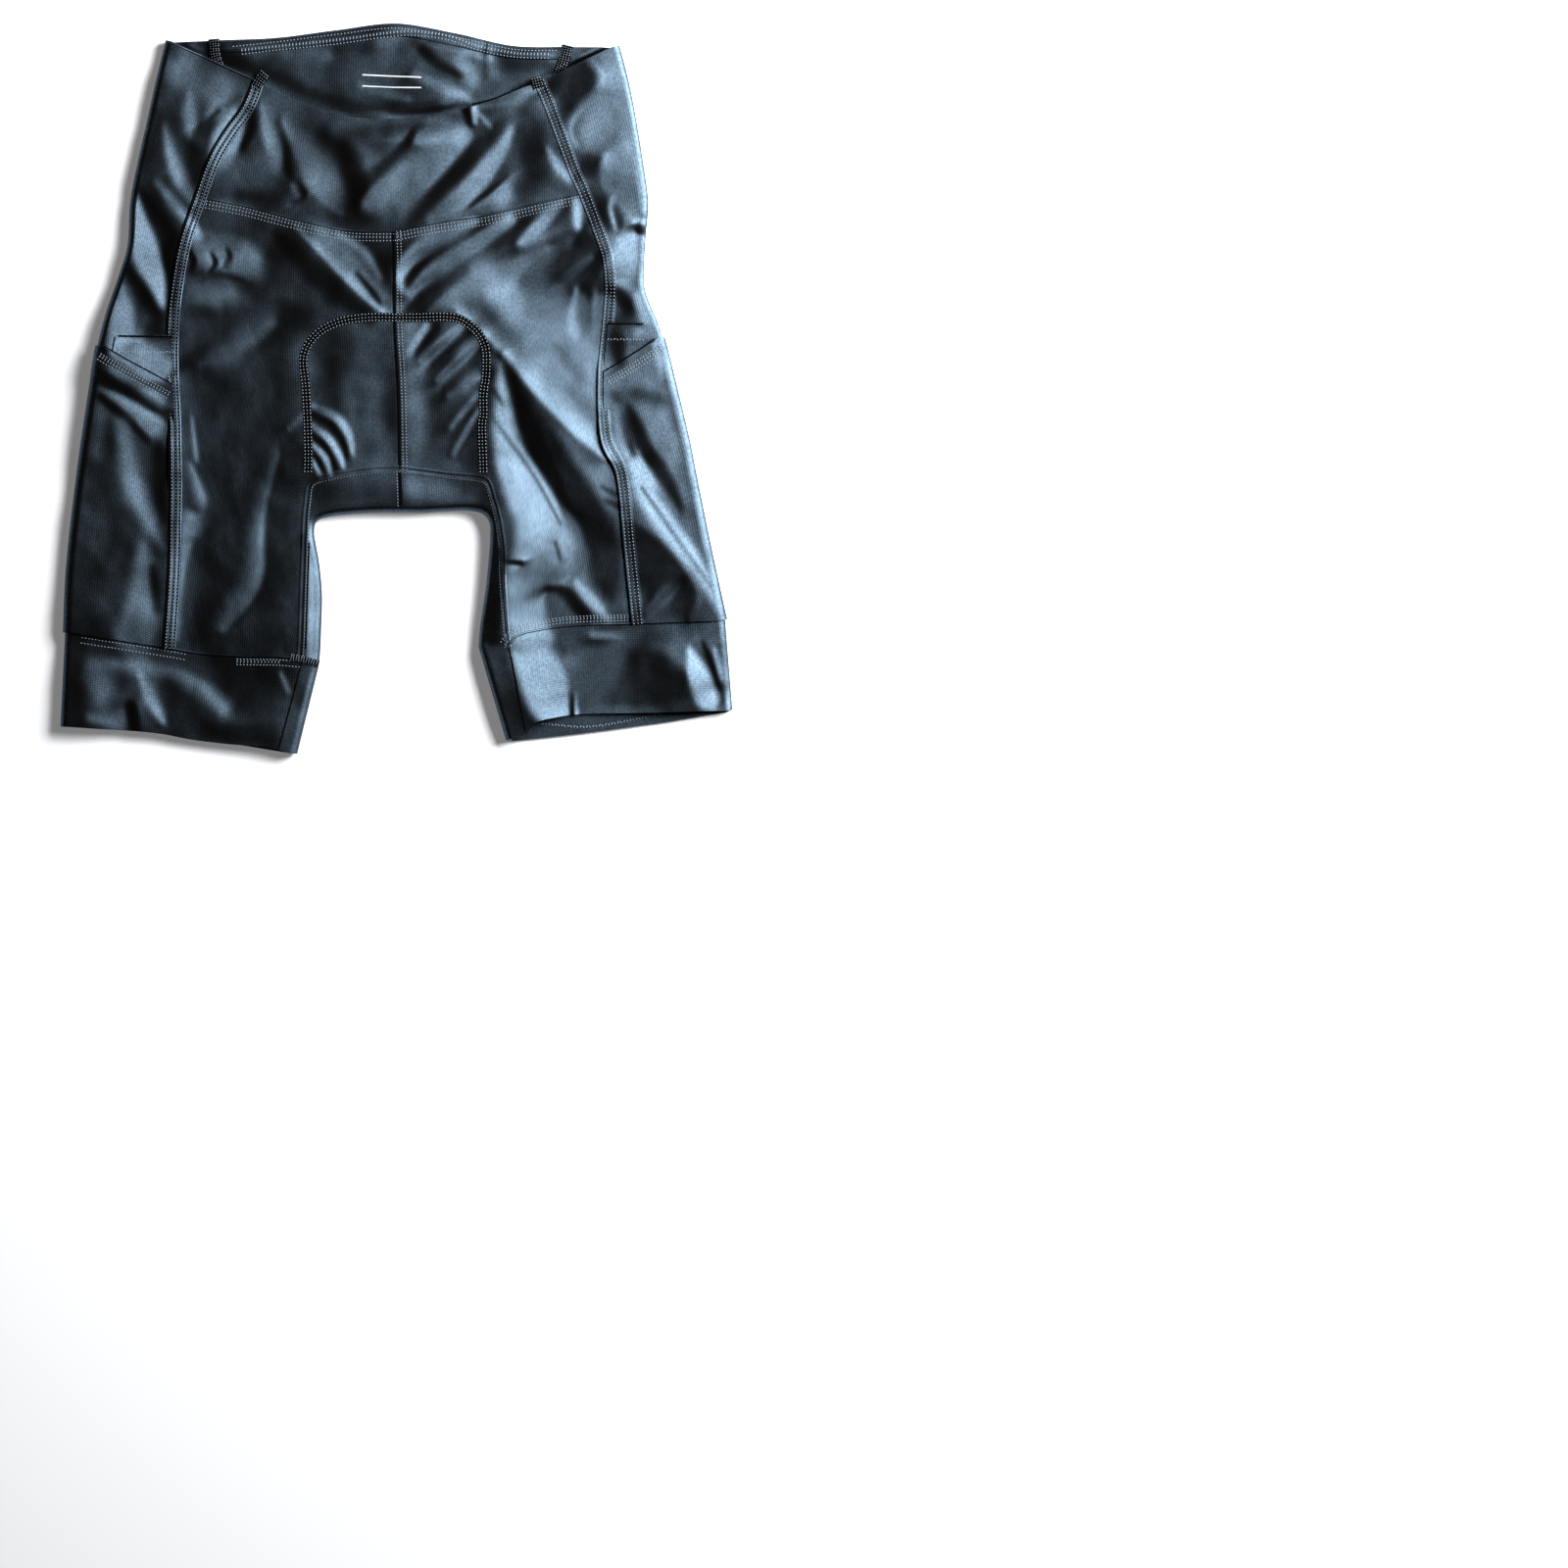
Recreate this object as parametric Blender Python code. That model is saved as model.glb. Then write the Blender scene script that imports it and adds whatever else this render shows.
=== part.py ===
"""Padded running shorts laid flat on a surface, front up.

The cloth is one double sheet: the back lies on the surface, the front lies on the back, and the sides,
the crotch and the inner legs are rolled edges where a panel turns from one layer to the other. Every
panel is a wall cut from that sheet along its sewn seams. Tables are in millimetres, seen from above:
x to the right, y towards the waist, and the middle of the garment's outline at 0, 0.
"""

from collections import namedtuple

import bmesh
import bpy
import numpy as np

MM = 0.001

# Walls and layers
CLOTH = 1.3  # one layer of the knit
DOUBLE = 2.0  # waistband and cuffs are two layers
HALF_SEAM = 0.15  # each piece stops this far short of a seam line
LAYER_GAP = 0.3  # between cloth that lies on cloth
LOFT = 6.4  # height of the front where it lies smooth
ROLL = 5.0  # depth of a rolled edge, seen from above

# Pad inside the crotch: a box with round corners, whose stitched outline shows on the front
PAD_CENTRE = (0.5, -28.0)
PAD_HALF = (66.5, 82.0)
PAD_CORNER = 24.0
PAD_RISE = 4.0  # how far the pad lifts the front
PAD_SLOPE = 12.0  # distance over which it does so
PAD_SMOOTHS = 0.8  # share by which it flattens the folds that cross it
PAD_END = -84.0  # the front lobe ends plainly, short of the crotch's rolled edge
PAD_INSET = 4.0  # from the stitched outline to the foam
PAD_BEVEL = 13.0  # width of its thin border
PAD_BASE = CLOTH + LAYER_GAP
PAD_EDGE_TOP = 4.0
PAD_TOP = 7.9

# Finish
KNIT_COLOUR = (0.012, 0.013, 0.018)
PAD_COLOUR = (0.030, 0.030, 0.035)
ROUGHNESS = 0.42
SHARP_ANGLE = 50.0

# Grid cells
CELLS_PER_ROW = 2  # between two rows of a table
FRONT_CELLS = 12  # across a front leg panel
SIDE_TOP_CELLS = 6
ROLL_CELLS = 4
SIDE_BACK_CELLS = 2
STRIP_CELLS = 1  # of a back panel, between the inseam and the rolled edge
BACK_CELLS = 4
CUFF_CELLS = 4
PAD_CORNER_CELLS = 10
LIFT_CELLS = (3, 1)  # before the pocket's mouth, where the side panel's back starts and ends its rise
CURVE_STEPS = 400  # to measure a curve's length

SideRow = namedtuple("SideRow", "seam_x seam_y edge_x edge_y back_x back_y")
InnerRow = namedtuple("InnerRow", "seam_x seam_y edge_x edge_y")
Point = namedtuple("Point", "x y")
HemShift = namedtuple("HemShift", "dx dy")
Fold = namedtuple("Fold", "start_x start_y end_x end_y bow left right height")

# Side panels, waist to cuff: the front seam, the rolled edge and the back seam
LEFT_SIDE = (
    SideRow(-106, 235, -177, 267, -139, 267),
    SideRow(-114, 215, -184, 238, -146, 238),
    SideRow(-127, 196, -191, 206, -150, 206),
    SideRow(-139, 175, -198, 175, -152, 175),
    SideRow(-150, 146, -204, 143, -153, 143),
    SideRow(-160, 117, -206, 110, -154, 110),
    SideRow(-166, 90, -213, 86, -158, 86),
    SideRow(-170, 60, -222, 60, -163, 60),
    SideRow(-172, 30, -229, 32, -167, 32),
    SideRow(-171, 0, -234, 0, -170, 0),
    SideRow(-169, -46, -241, -46, -172, -46),
    SideRow(-169, -92, -247, -92, -174, -92),
    SideRow(-170, -140, -252, -140, -176, -140),
    SideRow(-174, -199, -254, -187, -178, -193),
)
RIGHT_SIDE = (
    SideRow(110, 235, 171, 263, 134, 262),
    SideRow(118, 216, 178, 236, 141, 236),
    SideRow(127, 192, 184, 205, 146, 205),
    SideRow(136, 168, 189, 174, 149, 174),
    SideRow(144, 150, 193, 143, 151, 143),
    SideRow(154, 124, 191, 116, 152, 116),
    SideRow(162, 100, 190, 96, 152, 96),
    SideRow(164, 76, 191, 74, 153, 74),
    SideRow(162, 48, 202, 46, 155, 46),
    SideRow(159, 10, 212, 8, 160, 8),
    SideRow(161, -37, 223, -38, 165, -38),
    SideRow(173, -66, 229, -68, 170, -68),
    SideRow(179, -122, 240, -122, 175, -122),
    SideRow(185, -180, 252, -177, 180, -184),
)
FRONT_JUNCTION = 4  # row where the front waistband ends
BACK_JUNCTION = 3  # row where the back waistband ends
INNER_CORNER = 4  # row of the inner tables where the crotch turns into the leg

# Crotch and inner leg, from the middle to the corner and down to the cuff: the seam that joins front
# and back, which lies on the front, and the rolled edge
LEFT_INNER = (
    InnerRow(3, -62, 4, -95),
    InnerRow(-16, -62.5, -15, -95),
    InnerRow(-35, -65, -34, -96),
    InnerRow(-53, -68.5, -51, -98),
    InnerRow(-65, -73, -61, -102),
    InnerRow(-68, -86, -63, -110),
    InnerRow(-69.5, -101, -61.5, -120),
    InnerRow(-70, -117, -59.5, -131),
    InnerRow(-70.5, -132, -58, -143),
    InnerRow(-71, -147, -57, -156),
    InnerRow(-71.5, -162, -57, -169),
    InnerRow(-72, -177, -57.5, -183),
    InnerRow(-72.5, -192, -58, -197),
    InnerRow(-73.5, -207, -59, -211),
)
RIGHT_INNER = (
    InnerRow(3, -62, 4, -95),
    InnerRow(21, -64, 20, -95),
    InnerRow(39, -66.5, 37, -94),
    InnerRow(56, -68, 54, -93.5),
    InnerRow(69, -71, 66, -96),
    InnerRow(74, -84, 71.5, -103),
    InnerRow(78, -98, 72, -113),
    InnerRow(80.5, -112, 71.5, -123),
    InnerRow(82, -126, 70.5, -134),
    InnerRow(82, -140, 69.5, -145),
    InnerRow(82.5, -154, 68, -157),
    InnerRow(83.5, -168, 66, -170),
    InnerRow(84.5, -183, 64, -184),
    InnerRow(86, -198, 63, -198),
)

# Seams and edges on one layer
FRONT_WAIST_EDGE = (
    Point(-106, 235), Point(-84, 224), Point(-59, 214), Point(-33, 208), Point(-2, 207),
    Point(30, 210), Point(60, 216.5), Point(88, 227), Point(110, 235),
)
LEFT_WAIST_SEAM = (Point(-2, 120), Point(-38, 121), Point(-78, 129.5), Point(-115, 139.5), Point(-150, 146))
RIGHT_WAIST_SEAM = (Point(-2, 120), Point(34, 127), Point(70, 133), Point(107, 141.5), Point(144, 150))
CENTRE_FRONT = (Point(3, -62), Point(2, -2), Point(-1, 54), Point(-1, 95), Point(-2, 120))
BACK_WAIST_EDGE = (
    Point(-139, 267), Point(-93, 269), Point(-46, 275), Point(0, 280),
    Point(46, 272.5), Point(90, 263), Point(134, 262),
)
LEFT_BACK_YOKE = (Point(0, 168), Point(-52, 169), Point(-104, 172), Point(-152, 175))
RIGHT_BACK_YOKE = (Point(0, 168), Point(50, 169), Point(100, 172), Point(149, 174))
LEFT_CUFF_SEAM = (
    Point(-73.5, -207), Point(-92, -205.5), Point(-121, -205), Point(-150, -203), Point(-174, -199),
)
RIGHT_CUFF_SEAM = (
    Point(86, -198), Point(93, -189.5), Point(109, -185), Point(135, -181.5), Point(185, -180),
)

# From the cuff's seam down to its hem, round the leg: at the inseam, the side seam, the outer edge,
# the back seam, the inner edge and the inseam again
LEFT_HEM = (
    HemShift(-16.5, -69.5), HemShift(-4, -66), HemShift(-3.5, -72),
    HemShift(-6, -70), HemShift(-17, -69), HemShift(-16.5, -69.5),
)
RIGHT_HEM = (
    HemShift(14, -67), HemShift(5, -68.5), HemShift(5.5, -69),
    HemShift(9, -74), HemShift(21, -71.5), HemShift(14, -67),
)

# Lines across the side panel, as places on its table: 0 at the waist, a whole number at each row.
# A line slants over the front and runs level round the side. Cells are those above it.
SideLine = namedtuple("SideLine", "at_seam at_edge cells")
LEFT_LINES = (
    SideLine(0, 0, 0), SideLine(5, 5, 10),
    SideLine(7.67, 7.70, 5),  # facing's mouth
    SideLine(8.95, 7.98, 3),  # pocket's mouth
    SideLine(13, 13, 10),
)
RIGHT_LINES = (
    SideLine(0, 0, 0), SideLine(5, 5, 10),
    SideLine(7.95, 7.85, 5),
    SideLine(8.95, 8.20, 3),
    SideLine(13, 13, 10),
)
FACING_START = 15  # cells from the waist to the facing's mouth
POCKET_START = 18
FACING_COLUMNS = 5  # cells that it covers, from the front seam
FACING_TUCK = 1  # cells that it runs on under the pocket

# The largest folds of the front. Left and right widths are as seen from the start towards the end,
# and the bow is how far the middle stands off to the left.
FOLDS = (
    Fold(-192, 226, -160, 136, 0, 12, 10, 3.5),  # left side, below the waist
    Fold(-205, 156, -184, 58, 3, 15, 10, 4.5),
    Fold(-223, 88, -212, 28, 0, 16, 10, 3.5),
    Fold(-138, 196, -118, 146, 0, 20, 10, 3.5),  # left half of the waistband
    Fold(-90, 212, -68, 138, 0, 16, 9, 4.0),
    Fold(-20, 196, -28, 128, 2, 15, 17, 4.0),
    Fold(62, 212, 2, 118, 4, 14, 16, 5.0),  # right half
    Fold(92, 206, 52, 132, 3, 12, 10, 4.0),
    Fold(134, 214, 110, 148, 0, 12, 18, 4.5),
    Fold(160, 252, 130, 176, 4, 28, 16, 5.0),  # right side, below the waist
    Fold(187, 168, 178, 100, 0, 10, 13, 3.5),
    Fold(-88, 132, -4, 52, 0, 11, 9, 5.0),  # drawn to the pad from both sides
    Fold(-2, 84, 56, 130, 5, 9, 9, 3.5),
    Fold(4, 62, 92, 124, 4, 9, 11, 4.5),
    Fold(22, 56, 130, 106, 6, 10, 22, 5.5),
    Fold(40, 64, 132, -22, 2, 20, 10, 5.0),  # right thigh
    Fold(98, 18, 186, -170, 10, 24, 18, 6.5),
    Fold(70, -20, 88, -200, 12, 20, 10, 4.5),
    Fold(186, -62, 252, -176, 0, 14, 20, 5.0),  # right side, lower
    Fold(206, 4, 170, -56, 0, 16, 16, 4.0),
    Fold(-79, 40, -77, -190, 0, 9, 36, 4.5),  # left thigh
    Fold(-104, -96, -146, -196, 0, 16, 16, 4.0),
    Fold(-166, -70, -172, -200, -2, 12, 10, 3.0),
    Fold(-230, 6, -220, -66, 0, 20, 10, 3.5),  # left side, lower
    Fold(-216, -112, -202, -184, 0, 20, 12, 3.5),
    Fold(-238, -196, -228, -266, 0, 26, 12, 3.0),  # cuffs
    Fold(-150, -200, -120, -276, 0, 18, 14, 2.5),
    Fold(92, -196, 104, -262, 0, 26, 9, 3.0),
    Fold(226, -182, 220, -252, 0, 16, 28, 4.0),
)


# Curves

def through(rows, places):
    """Points of a smooth curve through a table's rows, at places counted in rows."""
    rows = np.asarray(rows, float)
    places = np.asarray(places, float)
    cell = np.clip(np.floor(places).astype(int), 0, len(rows) - 2)
    share = (places - cell)[..., None]
    padded = np.vstack([2 * rows[0] - rows[1], rows, 2 * rows[-1] - rows[-2]])
    before, start, end, after = (padded[cell + step] for step in range(4))
    return 0.5 * (
        2 * start
        + (end - before) * share
        + (2 * before - 5 * start + 4 * end - after) * share**2
        + (3 * (start - end) + after - before) * share**3
    )


def along(rows):
    """A table's curve with the usual number of cells between two rows."""
    return through(rows, np.linspace(0, len(rows) - 1, CELLS_PER_ROW * (len(rows) - 1) + 1))


def evenly(rows, cells):
    """A table's curve cut into cells of equal length."""
    dense = through(rows, np.linspace(0, len(rows) - 1, CURVE_STEPS))
    run = np.concatenate([[0], np.cumsum(np.linalg.norm(np.diff(dense, axis=0), axis=1))])
    wanted = np.linspace(0, run[-1], cells + 1)
    return np.stack([np.interp(wanted, run, dense[:, axis]) for axis in (0, 1)], axis=1)


def patch(first, last, start, end):
    """A grid between four curves: first and last row, start and end of the rows."""
    v = np.linspace(0, 1, len(start))[:, None, None]
    u = np.linspace(0, 1, len(first))[None, :, None]
    corners = (1 - v) * ((1 - u) * first[0] + u * first[-1]) + v * ((1 - u) * last[0] + u * last[-1])
    return (1 - v) * first + v * last + (1 - u) * start[:, None] + u * end[:, None] - corners


def smooth_step(value):
    value = np.clip(value, 0, 1)
    return value * value * (3 - 2 * value)


# Height of the front

def inside_pad(x, y):
    """Distance inside the pad's outline, negative outside."""
    qx = np.abs(x - PAD_CENTRE[0]) - (PAD_HALF[0] - PAD_CORNER)
    qy = np.abs(y - PAD_CENTRE[1]) - (PAD_HALF[1] - PAD_CORNER)
    outside = np.hypot(np.maximum(qx, 0), np.maximum(qy, 0)) + np.minimum(np.maximum(qx, qy), 0)
    return PAD_CORNER - outside


def fold_height(x, y, fold):
    """A soft ridge along a bowed line, which dies out at both ends."""
    run_x, run_y = fold.end_x - fold.start_x, fold.end_y - fold.start_y
    length = np.hypot(run_x, run_y)
    share = ((x - fold.start_x) * run_x + (y - fold.start_y) * run_y) / length**2
    side = ((y - fold.start_y) * run_x - (x - fold.start_x) * run_y) / length
    side = side - fold.bow * 4 * share * (1 - share)
    width = np.where(side > 0, fold.left, fold.right)
    fade = 1 - smooth_step(np.abs(2 * share - 1) ** 2)
    return fold.height * fade * np.exp(-((side / width) ** 2))


def front_height(plan):
    """Outer height of the front at points of the plan."""
    x, y = plan[..., 0], plan[..., 1]
    over_pad = smooth_step(inside_pad(x, y) / PAD_SLOPE)
    folds = sum(fold_height(x, y, fold) for fold in FOLDS)
    return LOFT + PAD_RISE * over_pad + folds * (1 - PAD_SMOOTHS * over_pad)


# The double sheet

class Sheet:
    """A grid on the double sheet. Angle 90 is the front, -90 the back, and between them a rolled edge
    goes round towards its outward direction. Base is where the roll's angle starts and ends."""

    def __init__(self, base, angle=90.0, outward=(0.0, 0.0)):
        shape = base.shape[:-1]
        self.base = base
        self.angle = np.broadcast_to(angle, shape)
        self.outward = np.broadcast_to(outward, shape + (2,))

    def part(self, rows=slice(None), columns=slice(None)):
        return Sheet(self.base[rows, columns], self.angle[rows, columns], self.outward[rows, columns])

    def joined(self, other):
        """This grid with another one's columns after it, whose first column is the same as its last."""
        pairs = ((self.base, other.base), (self.angle, other.angle), (self.outward, other.outward))
        return Sheet(*(np.concatenate([mine, its[:, 1:]], axis=1) for mine, its in pairs))

    def points(self, lift=0.0):
        """Outer points, and the direction into the garment at each. Lift raises the back."""
        top = front_height(self.base)
        flat = np.cos(np.radians(self.angle))[..., None]
        rise = np.sin(np.radians(self.angle))[..., None]
        middle, radius = ((top + lift) / 2)[..., None], ((top - lift) / 2)[..., None]
        plan = self.base + self.outward * ROLL * flat
        outer = np.concatenate([plan, middle + radius * rise], axis=-1)
        return outer, np.concatenate([-self.outward * flat, -rise], axis=-1)


def edge_direction(rows, places, turn):
    """Outward direction of a rolled edge: its tangent turned by 90 degrees, left for 1, right for -1."""
    step = 1 / CURVE_STEPS
    ahead = through(rows, np.minimum(places + step, len(rows) - 1))
    behind = through(rows, np.maximum(places - step, 0))
    tangent = ahead - behind
    tangent /= np.linalg.norm(tangent, axis=-1, keepdims=True)
    return turn * np.stack([-tangent[..., 1], tangent[..., 0]], axis=-1)


def rolled(seam, edge, outward, back, top_cells, back_cells):
    """Grid that runs from a seam on the front, round a rolled edge, to a line on the back."""
    column = np.arange(top_cells + ROLL_CELLS + back_cells + 1)
    over = np.clip(column / top_cells, 0, 1)[:, None]
    turned = np.clip((column - top_cells) / ROLL_CELLS, 0, 1)
    under = np.clip((column - top_cells - ROLL_CELLS) / back_cells, 0, 1)[:, None]
    inner = edge - ROLL * outward
    base = seam + (inner - seam) * over + (back - inner) * under
    return Sheet(base, 90 - 180 * turned, np.broadcast_to(outward, base.shape))


# Walls

def stop_short(points):
    """Draws a grid's four edges in by half a seam's gap."""
    points = points.copy()
    for edge, inner in ((0, 1), (-1, -2)):
        for grid in (points, points.swapaxes(0, 1)):
            step = grid[inner] - grid[edge]
            grid[edge] += HALF_SEAM * step / np.linalg.norm(step, axis=-1, keepdims=True)
    return points


def add_object(name, mesh, colour):
    mesh.shade_smooth()
    mesh.set_sharp_from_angle(angle=np.radians(SHARP_ANGLE))
    material = bpy.data.materials.new(name)
    material.use_nodes = True
    shader = material.node_tree.nodes["Principled BSDF"]
    shader.inputs["Base Color"].default_value = (*colour, 1.0)
    shader.inputs["Roughness"].default_value = ROUGHNESS
    shader.inputs["Metallic"].default_value = 0.0
    mesh.materials.append(material)
    bpy.context.scene.collection.objects.link(bpy.data.objects.new(name, mesh))


def wall(name, sheet, thickness, lift=0.0, outside=0.0, turned=False):
    """A closed wall on a grid, which starts outside it where another layer lies between."""
    outer, inward = sheet.points(lift)
    outer = stop_short(outer)
    outside = np.broadcast_to(outside, outer.shape[:-1])[..., None]
    far = outer - inward * outside
    near = far + inward * thickness
    rows, columns = far.shape[:2]
    count = rows * columns
    index = np.arange(count).reshape(rows, columns)
    a, b = index[:-1, :-1].ravel(), index[:-1, 1:].ravel()
    c, d = index[1:, 1:].ravel(), index[1:, :-1].ravel()
    skin = np.concatenate([np.stack([a, b, c], axis=1), np.stack([a, c, d], axis=1)])
    rim = np.concatenate([index[0], index[1:, -1], index[-1, -2::-1], index[-2:0:-1, 0]])
    after = np.roll(rim, -1)
    border = np.concatenate([
        np.stack([after, rim, rim + count], axis=1),
        np.stack([after, rim + count, after + count], axis=1),
    ])
    faces = np.concatenate([skin, skin[:, ::-1] + count, border])
    if turned:
        faces = faces[:, ::-1]
    vertices = np.concatenate([far.reshape(-1, 3), near.reshape(-1, 3)]) * MM
    mesh = bpy.data.meshes.new(name)
    mesh.from_pydata(vertices.tolist(), [], faces.tolist())
    add_object(name, mesh, KNIT_COLOUR)


# Pieces

def spaced(stops):
    """Places from one stop to the next, each with its number of cells."""
    runs = [np.linspace(a[0], b[0], b[1] + 1)[1:] for a, b in zip(stops, stops[1:])]
    return np.concatenate([[stops[0][0]], *runs])


class Half:
    """One side of the garment: its tables, and turn 1 for the right, -1 for the left."""

    def __init__(self, name, turn, side, inner, waist_seam, back_yoke, cuff_seam, hem, lines):
        self.name, self.turn, self.hem = name, turn, hem
        self.waist_seam, self.back_yoke = along(waist_seam), along(back_yoke)
        side, inner = np.array(side, float), np.array(inner, float)
        at_seam = spaced([(line.at_seam, line.cells) for line in lines])[:, None]
        at_edge = spaced([(line.at_edge, line.cells) for line in lines])[:, None]
        column = np.arange(SIDE_TOP_CELLS + ROLL_CELLS + SIDE_BACK_CELLS + 1)
        places = at_seam + (at_edge - at_seam) * np.clip(column / SIDE_TOP_CELLS, 0, 1)
        self.side_sheet = rolled(
            through(side[:, 0:2], places), through(side[:, 2:4], places),
            edge_direction(side[:, 2:4], places, turn), through(side[:, 4:6], places),
            SIDE_TOP_CELLS, SIDE_BACK_CELLS,
        )
        self.front_seam, self.back_seam = self.side_sheet.base[:, 0], self.side_sheet.base[:, -1]
        crotch_cells = len(self.waist_seam) - 1
        leg_cells = len(self.front_seam) - 1 - CELLS_PER_ROW * FRONT_JUNCTION
        places = spaced([(0, 0), (INNER_CORNER, crotch_cells), (len(inner) - 1, leg_cells)])
        self.inseam = through(inner[:, 0:2], places)
        outer = np.concatenate([self.waist_seam[:-1], self.front_seam[CELLS_PER_ROW * FRONT_JUNCTION :]])
        centre, cuff = evenly(CENTRE_FRONT, FRONT_CELLS), evenly(cuff_seam, FRONT_CELLS)
        self.front_sheet = Sheet(patch(centre, cuff, self.inseam, outer))
        outer = np.concatenate([self.back_yoke[:-1], self.back_seam[CELLS_PER_ROW * BACK_JUNCTION :]])
        self.back_sheet = rolled(
            self.inseam[:, None], through(inner[:, 2:4], places)[:, None],
            edge_direction(inner[:, 2:4], places, -turn)[:, None], outer[:, None],
            STRIP_CELLS, BACK_CELLS,
        )


def side_panel(half):
    """Wraps from the front seam round the side. Its back rises where the pocket passes under it."""
    start, end = (POCKET_START - cells for cells in LIFT_CELLS)
    row = np.arange(len(half.front_seam))
    lift = (CLOTH + LAYER_GAP) * smooth_step((row - start) / (end - start))
    wall(f"side_panel_{half.name}", half.side_sheet, CLOTH, lift=lift[:, None], turned=half.turn > 0)


def front_panel(half):
    wall(f"front_{half.name}", half.front_sheet, CLOTH, turned=half.turn > 0)


def back_panel(half):
    """Lies under the front, and comes round the crotch and the inner leg to the seam on the front."""
    wall(f"back_{half.name}", half.back_sheet, CLOTH, turned=half.turn < 0)


def cuff(half):
    """One doubled strip round the leg, open at the inseam by the seam's gap."""
    last_row = slice(-1, None)
    front, side = half.front_sheet.part(last_row), half.side_sheet.part(last_row)
    back = half.back_sheet.part(last_row, slice(None, None, -1))
    ring = front.joined(side).joined(back)
    side_start = FRONT_CELLS
    side_edge = side_start + SIDE_TOP_CELLS + ROLL_CELLS / 2
    back_start = side_start + SIDE_TOP_CELLS + ROLL_CELLS + SIDE_BACK_CELLS
    inner_edge = back_start + BACK_CELLS + ROLL_CELLS / 2
    last = ring.base.shape[1] - 1
    marks = (0, side_start, side_edge, back_start, inner_edge, last)
    shift = through(half.hem, np.interp(np.arange(last + 1), marks, np.arange(len(marks))))
    share = np.linspace(0, 1, CUFF_CELLS + 1)[:, None, None]
    rows = np.zeros(CUFF_CELLS + 1, int)
    sheet = Sheet(ring.base + share * shift, ring.angle[rows], ring.outward[rows])
    wall(f"cuff_{half.name}", sheet, DOUBLE, turned=half.turn > 0)


def pocket_facing(half):
    """Inner pocket layer, which shows above the slanted mouth and runs on a little under the pocket."""
    sheet = half.side_sheet.part(
        slice(FACING_START, POCKET_START + FACING_TUCK + 1), slice(0, FACING_COLUMNS + 1)
    )
    wall(f"pocket_facing_{half.name}", sheet, CLOTH, outside=CLOTH + LAYER_GAP, turned=half.turn > 0)


def pocket(half):
    """Outer pocket layer, from its slanted mouth to the cuff, lying on the side panel all round."""
    sheet = half.side_sheet.part(slice(POCKET_START, None))
    layer = CLOTH + LAYER_GAP
    outside = np.full(sheet.angle.shape, layer)
    outside[: FACING_TUCK + 1, : FACING_COLUMNS + 1] += layer
    wall(f"pocket_{half.name}", sheet, CLOTH, lift=layer, outside=outside, turned=half.turn > 0)


def front_waistband(left, right):
    last = CELLS_PER_ROW * FRONT_JUNCTION + 1
    top = along(FRONT_WAIST_EDGE)
    bottom = np.concatenate([left.waist_seam[::-1], right.waist_seam[1:]])
    sheet = Sheet(patch(top, bottom, left.front_seam[:last], right.front_seam[:last]))
    wall("waistband_front", sheet, DOUBLE, turned=True)


def back_waistband(left, right):
    last = CELLS_PER_ROW * BACK_JUNCTION + 1
    top = along(BACK_WAIST_EDGE)
    bottom = np.concatenate([left.back_yoke[::-1], right.back_yoke[1:]])
    sheet = Sheet(patch(top, bottom, left.back_seam[:last], right.back_seam[:last]), -90.0)
    wall("waistband_back", sheet, DOUBLE)


def pad_outline():
    """Points round the pad's front lobe, anticlockwise from the right."""
    corner = PAD_CORNER - PAD_INSET
    side = PAD_HALF[0] - PAD_INSET
    top = PAD_CENTRE[1] + PAD_HALF[1] - PAD_INSET
    turn = np.linspace(0, np.pi / 2, PAD_CORNER_CELLS + 1)
    right = np.column_stack([side - corner + corner * np.cos(turn), top - corner + corner * np.sin(turn)])
    left = right[::-1] * (-1, 1)
    ends = [(-side, PAD_END), (side, PAD_END)]
    return np.concatenate([right, left, ends]) + (PAD_CENTRE[0], 0)


def chamois_pad():
    """Foam pad's front lobe between the layers, thin at its stitched edge."""
    shape = bmesh.new()
    corners = [shape.verts.new((x * MM, y * MM, PAD_BASE * MM)) for x, y in pad_outline()]
    base = shape.faces.new(corners)
    made = bmesh.ops.extrude_face_region(shape, geom=[base])["geom"]
    raised = [piece for piece in made if isinstance(piece, bmesh.types.BMVert)]
    bmesh.ops.translate(shape, verts=raised, vec=(0, 0, (PAD_EDGE_TOP - PAD_BASE) * MM))
    top = [piece for piece in made if isinstance(piece, bmesh.types.BMFace)]
    bmesh.ops.inset_region(
        shape, faces=top, thickness=PAD_BEVEL * MM, depth=(PAD_TOP - PAD_EDGE_TOP) * MM, use_even_offset=True
    )
    bmesh.ops.recalc_face_normals(shape, faces=shape.faces)
    mesh = bpy.data.meshes.new("chamois_pad")
    shape.to_mesh(mesh)
    shape.free()
    add_object("chamois_pad", mesh, PAD_COLOUR)


def build():
    for old in list(bpy.data.objects):
        bpy.data.objects.remove(old)
    left = Half(
        "left", -1, LEFT_SIDE, LEFT_INNER, LEFT_WAIST_SEAM, LEFT_BACK_YOKE,
        LEFT_CUFF_SEAM, LEFT_HEM, LEFT_LINES,
    )
    right = Half(
        "right", 1, RIGHT_SIDE, RIGHT_INNER, RIGHT_WAIST_SEAM, RIGHT_BACK_YOKE,
        RIGHT_CUFF_SEAM, RIGHT_HEM, RIGHT_LINES,
    )
    front_waistband(left, right)
    back_waistband(left, right)
    for half in (left, right):
        side_panel(half)
        front_panel(half)
        back_panel(half)
        cuff(half)
        pocket_facing(half)
        pocket(half)
    chamois_pad()


build()
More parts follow.
